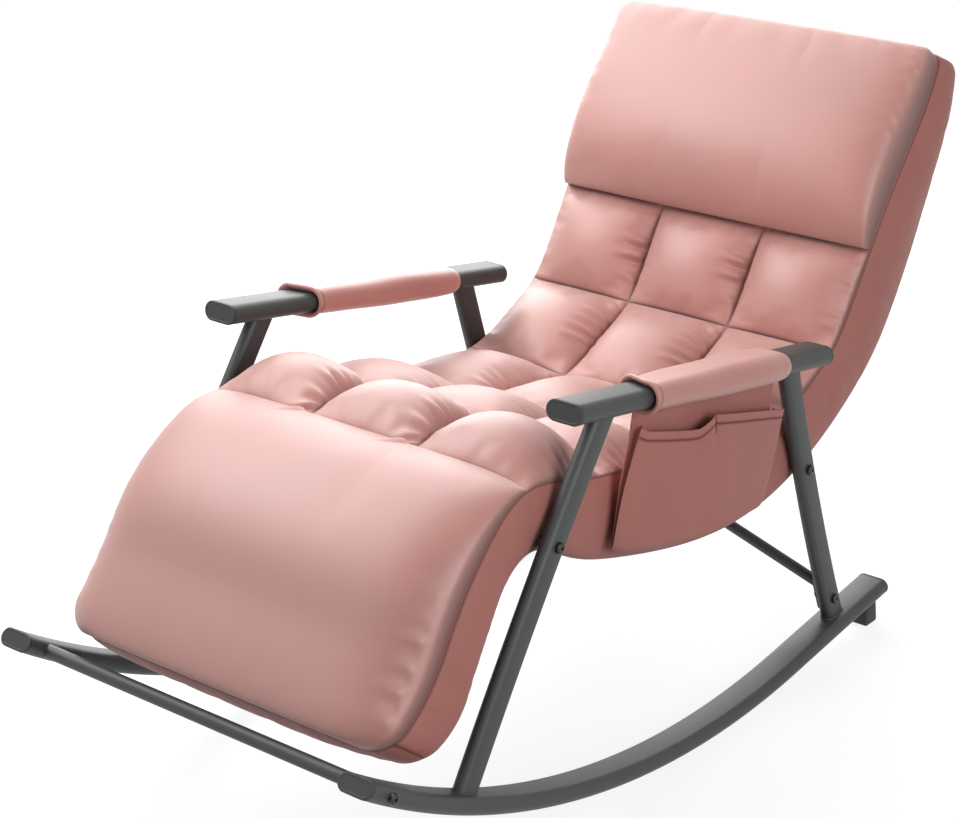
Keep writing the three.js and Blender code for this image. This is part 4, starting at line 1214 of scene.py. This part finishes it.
def buildBrace():
    settings = braceSettings
    place, heading = rearLegAt(settings["footHeight"])
    lean = heading - math.pi / 2
    run = settings["end"] - settings["shoulder"]
    slope = math.atan2(settings["rise"], run)
    width = settings["size"][0]
    piece = ovalRing("brace_tube", settings["size"])
    # pressed groove: the front flat is cut into narrow strips and the middle one pushed in
    editMode(piece)
    selectWhere(piece, lambda middle: middle.x < -width * 0.499, "EDGE")
    bpy.ops.mesh.subdivide(number_cuts=settings["grooveCuts"])
    for reach, share in settings["grooveSteps"]:
        selectWhere(piece, lambda p: p.x < -width * 0.25 and abs(p.y - settings["grooveUp"]) < reach)
        bpy.ops.transform.translate(value=(settings["groove"] * share, 0, 0))
    leaveEdit()
    # the ring's width lies front to back, its height up, and it looks across the chair
    piece.matrix_world = Matrix.Rotation(slope, 4, "Y") @ Matrix(
        ((0, 0, 1, 0), (1, 0, 0, 0), (0, 1, 0, 0), (0, 0, 0, 1)))
    piece.location = (-settings["end"], 0, 0)
    applyPlace(piece)
    editMode(piece)
    selectAll()
    slopeLength = math.hypot(run, settings["rise"]) - settings["bendRun"]
    bendStart = settings["shoulder"] - settings["bendRun"]
    radius = settings["bendRun"] / math.tan(slope / 2)
    up, down = (Vector((math.cos(slope), 0, sign * math.sin(slope))) for sign in (1, -1))
    extrude(up * slopeLength)
    for sign, onward in ((-1, (2 * bendStart, 0, 0)), (1, down * slopeLength)):
        bpy.ops.mesh.spin(steps=settings["bendSteps"], angle=-slope, axis=(0, 1, 0),
                          center=(sign * bendStart, 0, settings["rise"] - radius))
        extrude(onward)
    closeEnds(piece)
    smooth(piece)
    low, high = settings["plateSpan"]
    plates = []
    for sign in (-1, 1):
        plate = newPiece("brace_plate", bpy.ops.mesh.primitive_cube_add, size=1,
                         location=(sign * settings["plateX"], 0, (low + high) / 2),
                         scale=(*settings["plate"], high - low))
        applyPlace(plate)
        editMode(plate)
        selectWhere(plate, lambda middle: abs(middle.x - sign * settings["plateX"]) < 1e-4, "EDGE")
        bpy.ops.mesh.bevel(offset=settings["plateCorner"], segments=5, affect="EDGES")
        leaveEdit()
        addBevel(plate, settings["plateEdge"], 2, 50)
        smooth(plate)
        plates.append(plate)
    makeActive(piece)
    for plate in plates:
        plate.select_set(True)
    bpy.ops.object.join()
    piece.rotation_euler = (lean, 0, 0)
    piece.location = place
    applyPlace(piece)
    finishPiece(piece, tubePaint, "painted_steel", "rear_brace")


boltSettings = {
    "around": 36,
    "headRadius": 0.0075,
    "headHeight": 0.0052,
    "dome": 0.0026,
    "shankRadius": 0.004,
    "socketRadius": 0.0027,
    "socketDepth": 0.0026,
    "edge": 0.0002,
}


def buildBolt(name, node, sign):
    # button head with a hexagon socket, on its shank
    settings = boltSettings
    headHeight = settings["headHeight"]
    (lowX, lowY, lowZ), (highX, highY, highZ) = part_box(node)
    outer = highX if sign > 0 else -lowX
    inner = lowX if sign > 0 else -highX
    bolt = newPiece(name, bpy.ops.mesh.primitive_cylinder_add, vertices=settings["around"],
                    radius=settings["headRadius"], depth=headHeight, location=(0, 0, -headHeight / 2))
    applyPlace(bolt)
    editMode(bolt)
    selectWhere(bolt, lambda middle: middle.z > -1e-5, "FACE")
    bpy.ops.mesh.bevel(offset=settings["dome"], segments=5, affect="EDGES")
    selectWhere(bolt, lambda middle: middle.z < -headHeight * 0.99, "FACE")
    bpy.ops.mesh.inset(thickness=settings["headRadius"] - settings["shankRadius"], depth=0)
    extrude((0, 0, -(outer - inner - headHeight)))
    leaveEdit()
    socket = newPiece("socket", bpy.ops.mesh.primitive_cylinder_add, vertices=6,
                      radius=settings["socketRadius"], depth=2 * settings["socketDepth"], location=(0, 0, 0))
    applyPlace(socket)
    cutAway(bolt, socket)
    bolt.rotation_euler = (0, math.radians(90 * sign), 0)
    bolt.location = (sign * outer, (lowY + highY) / 2, (lowZ + highZ) / 2)
    applyPlace(bolt)
    addBevel(bolt, settings["edge"], 2, 50)
    smooth(bolt, 35)
    finishPiece(bolt, boltPaint, "bolt_steel", node)


nutSettings = {"radius": 0.00725, "faceWidth": 0.0021, "hole": (0.0004, 0.0008), "edge": 0.0006}


def buildNut(name, node):
    # hexagon nut with its corners turned down and a hole for the bolt's tail
    settings = nutSettings
    low, high = (Vector(corner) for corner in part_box(node))
    holeStep, holeDepth = settings["hole"]
    nut = newPiece(name, bpy.ops.mesh.primitive_cylinder_add, vertices=6, radius=settings["radius"],
                   depth=high.x - low.x, location=(0, 0, 0))
    editMode(nut)
    selectWhere(nut, lambda place: abs(place.x) + abs(place.y) < 1e-5, "FACE")
    bpy.ops.mesh.inset(thickness=settings["faceWidth"], depth=0)
    bpy.ops.mesh.inset(thickness=holeStep, depth=-holeDepth)
    leaveEdit()
    addBevel(nut, settings["edge"], 3, 40)
    nut.rotation_euler = (0, math.radians(90), 0)
    nut.location = (low + high) / 2
    applyPlace(nut)
    smooth(nut, 35)
    finishPiece(nut, boltPaint, "bolt_steel", node)


stopSettings = {
    "width": 0.034,
    "depth": 0.032,
    "height": 0.046,
    "topShare": 0.84,
    "centreY": 0.4888,
    "edge": 0.0035,
}


def buildStop(side, sign):
    settings = stopSettings
    height = settings["height"]
    piece = newPiece(f"stop_block_{side}", bpy.ops.mesh.primitive_cube_add, size=1,
                     location=(0, 0, height / 2), scale=(settings["width"], settings["depth"], height))
    applyPlace(piece)
    editMode(piece)
    selectWhere(piece, lambda place: place.z > height / 2)
    bpy.ops.transform.resize(value=(settings["topShare"], settings["topShare"], 1),
                             center_override=(0, 0, height))
    leaveEdit()
    addBevel(piece, settings["edge"], 4, 40)
    piece.location = (sign * frameSettings["sideX"], settings["centreY"], 0)
    applyPlace(piece)
    smooth(piece)
    finishPiece(piece, footRubber, "stop_rubber", f"rear_stop_{side}")


# the hidden frame inside the pad keeps its CAD shape and gets its finish here
carriedFinishes = {"seat_side_tube": tubePaint, "seat_cross_tube": tubePaint, "cross_tube_insert": boltPaint,
                   "seat_bush": capPlastic, "webbing_strap": strapWeave}
for nodeName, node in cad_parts.items():
    for start, finish in carriedFinishes.items():
        if nodeName.startswith(start):
            for materialSlot in node.material_slots:
                materialSlot.material = finish

buildCrossTube()
buildBrace()
for side, sign in sides:
    for which in ("front", "rear"):
        buildBolt(f"seat_fixing_{which}_{side}", f"seat_bolt_{which}_{side}", sign)
    buildBolt(f"brace_fixing_{side}", f"brace_bolt_{side}", sign)
    buildBolt(f"cross_fixing_{side}", f"cross_tube_screw_{side}", sign)
    buildNut(f"brace_lock_{side}", f"brace_nut_{side}")
    buildStop(side, sign)
print("cross tube, brace, fixings and stops done")


# Sleeves round the arms: loose rolled mouth in front, gathered round end behind
sleeveSettings = {
    "start": 0.152,
    "length": 0.334,
    "around": 72,
    "steps": 64,
    "roundSteps": 8,
    "thickness": 0.0036,
    "clear": 0.0006,  # between the tube and the lining
    "puff": 0.0055,
    "puffShares": (0.3, 0.9),  # at the mouth, and how much is added up to the rear end
    "rearRounding": 0.026,
    "rearPower": 0.9,
    "liningEnd": 0.003,
    "hem": 0.0032,
    "hemShares": (1.05, 2.1, 2.2),  # in hems: middle of the roll, start of the cover, end of the lining
    "hemLift": 0.0018,
    "hemTurn": 1.15,
    "stitchAt": 0.0145,
    "stitchDepth": 0.0011,
    "stitchWidth": 0.0016,
    "stitchClear": 0.0022,
    "stitchLift": 0.001,
    "slack": (0.001, 0.0015),  # the mouth stands off the tube by this much on top and outside
    "slackFade": 0.05,
    "wave": 0.0004,
    "waves": 3,
    "waveTurn": 40,
    "waveStart": 0.03,
    "underFlat": 0.001,
    "skew": 0.010,
    "skewLeast": -0.004,
    "skewFade": 0.06,
}


def ovalPoint(size, share):
    # a point on a flat oval and its outward direction, by its share of the way round
    radius = min(size) / 2
    flat = abs(size[0] - size[1])
    quarter = math.pi * radius
    total = 2 * quarter + 2 * flat
    run = (share % 1) * total
    if run < flat:
        return Vector((flat / 2 - run, radius)), Vector((0, 1))
    run -= flat
    if run < quarter:
        angle = math.pi / 2 + run / radius
        way = Vector((math.cos(angle), math.sin(angle)))
        return Vector((-flat / 2, 0)) + way * radius, way
    run -= quarter
    if run < flat:
        return Vector((-flat / 2 + run, -radius)), Vector((0, -1))
    angle = -math.pi / 2 + (run - flat) / radius
    way = Vector((math.cos(angle), math.sin(angle)))
    return Vector((flat / 2, 0)) + way * radius, way


def sleeveProfile():
    # stations: along the sleeve, how far the cover stands off the tube there, and the distance from the
    # stitch line, where the leather paints seam shade
    settings = sleeveSettings
    length, thick, inner = settings["length"], settings["thickness"], settings["clear"]
    hem, rounding, turns = settings["hem"], settings["rearRounding"], settings["roundSteps"]
    rollShare, coverShare, liningShare = settings["hemShares"]
    puffStart, puffMore = settings["puffShares"]
    stitchAt = settings["stitchAt"]

    def offAt(share):
        return thick + settings["puff"] * (1 - (2 * share - 1) ** 4) * (puffStart + puffMore * share)

    def grooveAt(distance):
        return settings["stitchDepth"] * math.exp(-(distance / settings["stitchWidth"]) ** 2)

    profile = []
    for step in range(turns + 1):  # the rolled hem of the mouth, from inside to outside
        angle = math.pi * (settings["hemTurn"] - step / turns)
        profile.append((hem * rollShare + hem * math.cos(angle),
                        inner + settings["hemLift"] + hem + hem * math.sin(angle), 0))
    body = []
    for step in range(1, settings["steps"]):
        along = coverShare * hem + (length - rounding - coverShare * hem) * step / settings["steps"]
        if abs(along - stitchAt) > settings["stitchClear"]:
            body.append((along, offAt(along / length) - grooveAt(along - stitchAt), abs(along - stitchAt)))
    for share in (-1, -0.5, 0, 0.5, 1):
        distance = share * settings["stitchWidth"]
        body.append((stitchAt + distance, thick + settings["stitchLift"] - grooveAt(distance), abs(distance)))
    profile += sorted(body)
    endOff = offAt(1 - rounding / length)
    for step in range(turns + 1):  # the rear end turns in to the tube
        angle = step / turns * math.pi / 2
        profile.append((length - rounding + rounding * math.sin(angle),
                        inner + (endOff - inner) * math.cos(angle) ** settings["rearPower"], 1))
    profile += [(along, inner, 1)
                for along in (length - settings["liningEnd"], length / 2, hem * liningShare)]
    return profile


def buildSleeve(side, sign):
    settings = sleeveSettings
    inner, count = settings["clear"], settings["around"]
    slackUp, slackOut = settings["slack"]
    size = frameSettings["armSize"]
    profile = sleeveProfile()
    points, seam = [], []
    for along, off, gap in profile:
        for step in range(count):
            share = step / count
            place, way = ovalPoint(size, share)
            grow = off
            if off > inner * 2:
                slack = math.exp(-along / settings["slackFade"])
                grow += slackUp * slack * max(way.y, 0) + slackOut * slack * max(way.x * sign, 0)
                wave = math.sin(settings["waves"] * 2 * math.pi * share + along * settings["waveTurn"])
                grow += settings["wave"] * wave * min(1, along / settings["waveStart"])
                # the lower edge, where the seam runs, is flatter
                grow -= settings["underFlat"] * max(-way.y, 0)
            skew = settings["skew"] * (-place.x * sign) / (size[0] / 2)
            skew = max(skew * math.exp(-along / settings["skewFade"]), settings["skewLeast"])
            onTube = armPlace(settings["start"] + along + skew)
            upward = armPlace(0, -1) - armPlace(0)
            spot = onTube + Vector((1, 0, 0)) * (place.x + way.x * grow) + upward * (place.y + way.y * grow)
            points.append((sign * frameSettings["sideX"] + spot.x, spot.y, spot.z))
            seam.append(gap if gap > 0 else 1)
    faces = []
    rows = len(profile)
    for i in range(rows):
        for j in range(count):
            here, there, aside = i * count, (i + 1) % rows * count, (j + 1) % count
            faces.append((here + j, here + aside, there + aside, there + j))
    piece = meshFrom(f"arm_cover_{side}", points, faces)
    setValues(piece, "seamDistance", seam)
    turnOutward(piece)
    smooth(piece, 70)
    finishPiece(piece, armLeather, "upholstery", f"arm_sleeve_{side}")


for side, sign in sides:
    buildSleeve(side, sign)
print("arm sleeves done")


# Side pocket: a back sheet under the sleeve and a front bag with folded sides and two mouths
pocketSettings = {
    "start": 0.152,
    "backX": 0.2848,
    "frontX": 0.3035,
    "cloth": 0.0014,
    "bulge": 0.007,
    # mouth and outline of the bag: distance along the arm and below it, front to back
    "mouth": [(0.002, 0.0405), (0.02, 0.047), (0.069, 0.0535), (0.110, 0.0585), (0.137, 0.0605),
              (0.152, 0.0565), (0.165, 0.051), (0.175, 0.0475), (0.19, 0.0478), (0.22, 0.051), (0.27, 0.056),
              (0.32, 0.061), (0.357, 0.0655)],
    "bottom": [(-0.011, 0.204), (0.01, 0.211), (0.055, 0.2175), (0.12, 0.2205), (0.195, 0.22), (0.265, 0.216),
               (0.34, 0.2085), (0.354, 0.189)],
    "bagCells": (96, 58),
    "sideCells": 8,
    "hemRows": 4,
    "hem": 0.012,
    "sideBow": 0.006,
    "bulgePower": 0.6,
    "bulgeShares": (0.35, 0.65),  # at mouth and bottom, and how much is added between them
    "bulgeSpan": (0.92, 0.04),
    "taper": 0.72,
    "taperPower": 0.8,
    "frontPower": 0.45,
    "divider": 0.5,
    "dividerDip": (0.0045, 0.02, 6),  # depth, width and how fast it fades below the mouth
    "dividerSeam": (0.2, 0.14, 0.36),  # half width and depth of the stretch where it shows, metres per share
    "closeSpan": (0.93, 0.07),  # the bottom closes onto the back sheet in this stretch
    "closeOff": 0.0022,
    "sideOff": 0.0018,
    "sideFold": (0.010, 0.6, 0.002),  # depth, share lost at the bottom, step beside the back sheet
    "backCells": (60, 34),
    "backTop": (0.004, 0.345, 0.0185),  # start, length and depth below the arm
    "backBottom": (0.004, 0.001),
    "backPower": 1.2,
    "backRipple": (0.0008, 9, 4),
}


def curveThrough(points, share):
    # a place on a broken line by its share of the length, smoothed a little at the corners
    points = np.array(points, float)
    run = np.concatenate([[0], np.cumsum(np.linalg.norm(np.diff(points, axis=0), axis=1))])
    total = 0
    for offset, weight in ((-0.012, 0.25), (0, 0.5), (0.012, 0.25)):
        at = np.clip(share + offset * min(1, share * 40, (1 - share) * 40), 0, 1) * run[-1]
        total = total + weight * np.array([np.interp(at, run, column) for column in points.T])
    return total


def buildPocket():
    settings = pocketSettings
    columns, rows = settings["bagCells"]
    hem, hemRows, sideCells = settings["hem"], settings["hemRows"], settings["sideCells"]
    back, front, divider = settings["backX"], settings["frontX"], settings["divider"]
    bulgeLow, bulgeMore = settings["bulgeShares"]
    spanShare, spanStart = settings["bulgeSpan"]
    dip, dipWidth, dipFade = settings["dividerDip"]
    seamHalf, seamDepth, seamRate = settings["dividerSeam"]
    closeFrom, closeSpan = settings["closeSpan"]
    fold, foldLoss, foldStep = settings["sideFold"]
    points, seam = [], []
    total = columns + 1 + 2 * sideCells
    for j in range(rows + 1):
        for i in range(total):
            c = min(max((i - sideCells) / columns, 0), 1)
            topPlace = curveThrough(settings["mouth"], c)
            bottomPlace = curveThrough(settings["bottom"], c)
            # the first rows lie at the same depth all along, so that the hem's stitch line, with its painted
            # seam shade, follows one of them
            deep = bottomPlace[1] - topPlace[1]
            if j <= hemRows:
                v = hem * j / hemRows / deep
            else:
                v = (hem + (deep - hem) * (j - hemRows) / (rows - hemRows)) / deep
            # left and right edges bow outward a little
            along, below = topPlace + (bottomPlace - topPlace) * v
            along += settings["sideBow"] * math.sin(math.pi * v) * (c * 2 - 1) ** 3
            # the folded sides are deep at the mouth and run out at the bottom
            edgeFront = back + (front - back) * (1 - settings["taper"] * v ** settings["taperPower"])
            if i < sideCells or i > sideCells + columns:
                k = (sideCells - i) / sideCells if i < sideCells else (i - sideCells - columns) / sideCells
                inward = 1 if i < sideCells else -1
                x = edgeFront + (back + settings["sideOff"] - edgeFront) * k
                along += inward * (math.sin(math.pi * k) * fold * (1 - foldLoss * v) + foldStep * k)
                gap = 1.0
            else:
                middle = math.sin(math.pi * min(v * spanShare + spanStart, 1))
                puff = settings["bulge"] * math.sin(math.pi * c) ** settings["bulgePower"] \
                    * (bulgeLow + bulgeMore * middle)
                x = edgeFront + (front + puff - edgeFront) * math.sin(math.pi * c) ** settings["frontPower"]
                x -= dip * math.exp(-((c - divider) / dipWidth) ** 2) * math.exp(-v * dipFade)
                # distance from the hem's stitch line and the divider seam, where the leather paints seam
                # shade
                gap = min(1.0, abs(below - topPlace[1] - hem))
                if abs(c - divider) < seamHalf and v < seamDepth:
                    gap = min(gap, abs(c - divider) * seamRate)
            if v > closeFrom:
                close = (v - closeFrom) / closeSpan
                x = x + (back + settings["closeOff"] - x) * (1 - math.sqrt(max(1 - close ** 2, 0)))
            place = armPlace(settings["start"] + along, below)
            points.append((x, place.y, place.z))
            seam.append(gap)
    bag = meshFrom("pocket_front", points, gridFaces(rows + 1, total))
    setValues(bag, "seamDistance", seam)
    return bag


def thicken(piece, thickness):
    solid = piece.modifiers.new("cloth", "SOLIDIFY")
    solid.thickness = thickness
    solid.offset = 0
    makeActive(piece)
    bpy.ops.object.modifier_apply(modifier=solid.name)
    turnOutward(piece)
    smooth(piece, 50)


def buildPocketBack():
    settings = pocketSettings
    columns, rows = settings["backCells"]
    topStart, topLength, topBelow = settings["backTop"]
    moreAlong, moreBelow = settings["backBottom"]
    ripple, rippleAlong, rippleDown = settings["backRipple"]
    points = []
    for j in range(rows + 1):
        v = j / rows
        for i in range(columns + 1):
            c = i / columns
            topAlong = topStart + topLength * c
            low = curveThrough(settings["bottom"], c)
            along = topAlong + (low[0] + moreAlong - topAlong) * v ** settings["backPower"]
            below = topBelow + (low[1] + moreBelow - topBelow) * v
            wave = ripple * math.sin(c * rippleAlong + v * rippleDown)
            x = settings["backX"] + wave * math.sin(math.pi * v)
            place = armPlace(settings["start"] + along, below)
            points.append((x, place.y, place.z))
    piece = meshFrom("pocket_back", points, gridFaces(rows + 1, columns + 1))
    setValues(piece, "seamDistance", [1.0] * len(points))
    return piece


pocketFront = buildPocket()
thicken(pocketFront, pocketSettings["cloth"])
# the pocket gets the flat cloth, whose darker colour is painted shade
finishPiece(pocketFront, shadedFlatLeather, "upholstery", "pocket_bag")
pocketBack = buildPocketBack()
thicken(pocketBack, pocketSettings["cloth"])
finishPiece(pocketBack, shadedFlatLeather, "upholstery", "pocket_back_panel")
print("pocket done")


# Floor, light and camera
studio = {
    "cameraPlace": (1.8732, -2.4544, 1.6751),
    "target": (0.0, -0.0953, 0.4635),
    "lens": 89.25,
    # place, target, size and power
    "lights": {
        "key": ((-1.5, -1.0, 2.3), (0, 0.5, 0.7), (1.2, 1.2), 36),
        "overhead": ((-1.35, 0.35, 2.35), (0, -0.4, 0.45), (2.0, 2.0), 39),
        "front": ((-0.9, -2.7, 1.5), (0, 0.0, 0.45), (2.0, 2.0), 8),
        "behind": ((-1.6, 1.9, 1.5), (0, 0.0, 0.45), (2.6, 1.9), 70),
        "fill": ((2.6, -0.6, 1.3), (0, 0, 0.45), (1.5, 1.5), 38),
    },
    "worldLight": (0.23, 0.77),  # for the light on the part, and how much is added where it is seen
    "floorSize": 30,
    "floorDrop": 0.0005,
    "floorColour": (0.25, 0.25, 0.25),
    "floorGlow": (0.82, 0.93),  # beside the chair and far from it, so that the shadow shows on white
    "glowReach": (1.0, 2.8),
}


def aim(name, data, place, target):
    piece = bpy.data.objects.new(name, data)
    bpy.context.scene.collection.objects.link(piece)
    piece.location = place
    piece.rotation_euler = (Vector(target) - Vector(place)).to_track_quat("-Z", "Y").to_euler()
    return piece


def seenDirectly(tree):
    # 1 for rays from the camera and in reflections
    path = tree.nodes.new("ShaderNodeLightPath")
    seen = mathNode(tree, "MAXIMUM", path.outputs["Is Camera Ray"], path.outputs["Is Glossy Ray"])
    return path, seen


deselectAll()
cameraData = bpy.data.cameras.new("camera")
cameraData.lens = studio["lens"]
cameraData.sensor_width = 36
cameraData.sensor_fit = "HORIZONTAL"
cameraData.clip_end = 50
bpy.context.scene.camera = aim("camera", cameraData, studio["cameraPlace"], studio["target"])

for name, (place, target, size, power) in studio["lights"].items():
    data = bpy.data.lights.new(name, "AREA")
    data.shape = "RECTANGLE"
    data.size, data.size_y = size
    data.energy = power
    aim(name, data, place, target)

world = bpy.data.worlds.new("studio")
bpy.context.scene.world = world
world.use_nodes = True
worldTree = world.node_tree
background = worldTree.nodes["Background"]
path, seen = seenDirectly(worldTree)
seen = mathNode(worldTree, "MAXIMUM", seen, path.outputs["Is Transmission Ray"])
unseenLight, seenLight = studio["worldLight"]
strength = mathNode(worldTree, "MULTIPLY", seen, seenLight)
strength = mathNode(worldTree, "ADD", strength, unseenLight)
worldTree.links.new(strength, background.inputs["Strength"])
background.inputs["Color"].default_value = (1, 1, 1, 1)

floor = newPiece("floor", bpy.ops.mesh.primitive_grid_add, x_subdivisions=2, y_subdivisions=2,
                 size=studio["floorSize"], location=(0, 0, -studio["floorDrop"]))
floorMaterial, floorTree, floorShader = newMaterial("pale floor")
floorShader.inputs["Base Color"].default_value = (*studio["floorColour"], 1)
floorShader.inputs["Roughness"].default_value = 0.9
floorShader.inputs["Specular IOR Level"].default_value = 0.1
path, floorSeen = seenDirectly(floorTree)
floorPlace = floorTree.nodes.new("ShaderNodeTexCoord")
floorFar = floorTree.nodes.new("ShaderNodeVectorMath")
floorFar.operation = "LENGTH"
floorTree.links.new(floorPlace.outputs["Object"], floorFar.inputs[0])
floorFade = floorTree.nodes.new("ShaderNodeMapRange")
floorFade.interpolation_type = "SMOOTHSTEP"
for index, value in enumerate((*studio["glowReach"], *studio["floorGlow"]), start=1):
    floorFade.inputs[index].default_value = value
floorTree.links.new(floorFar.outputs["Value"], floorFade.inputs[0])
floorGlow = mathNode(floorTree, "MULTIPLY", floorSeen, floorFade.outputs[0])
floorShader.inputs["Emission Color"].default_value = (1, 1, 1, 1)
floorTree.links.new(floorGlow, floorShader.inputs["Emission Strength"])
floor.data.materials.append(floorMaterial)
bpy.context.scene.view_settings.view_transform = "Standard"
print("camera and light set")
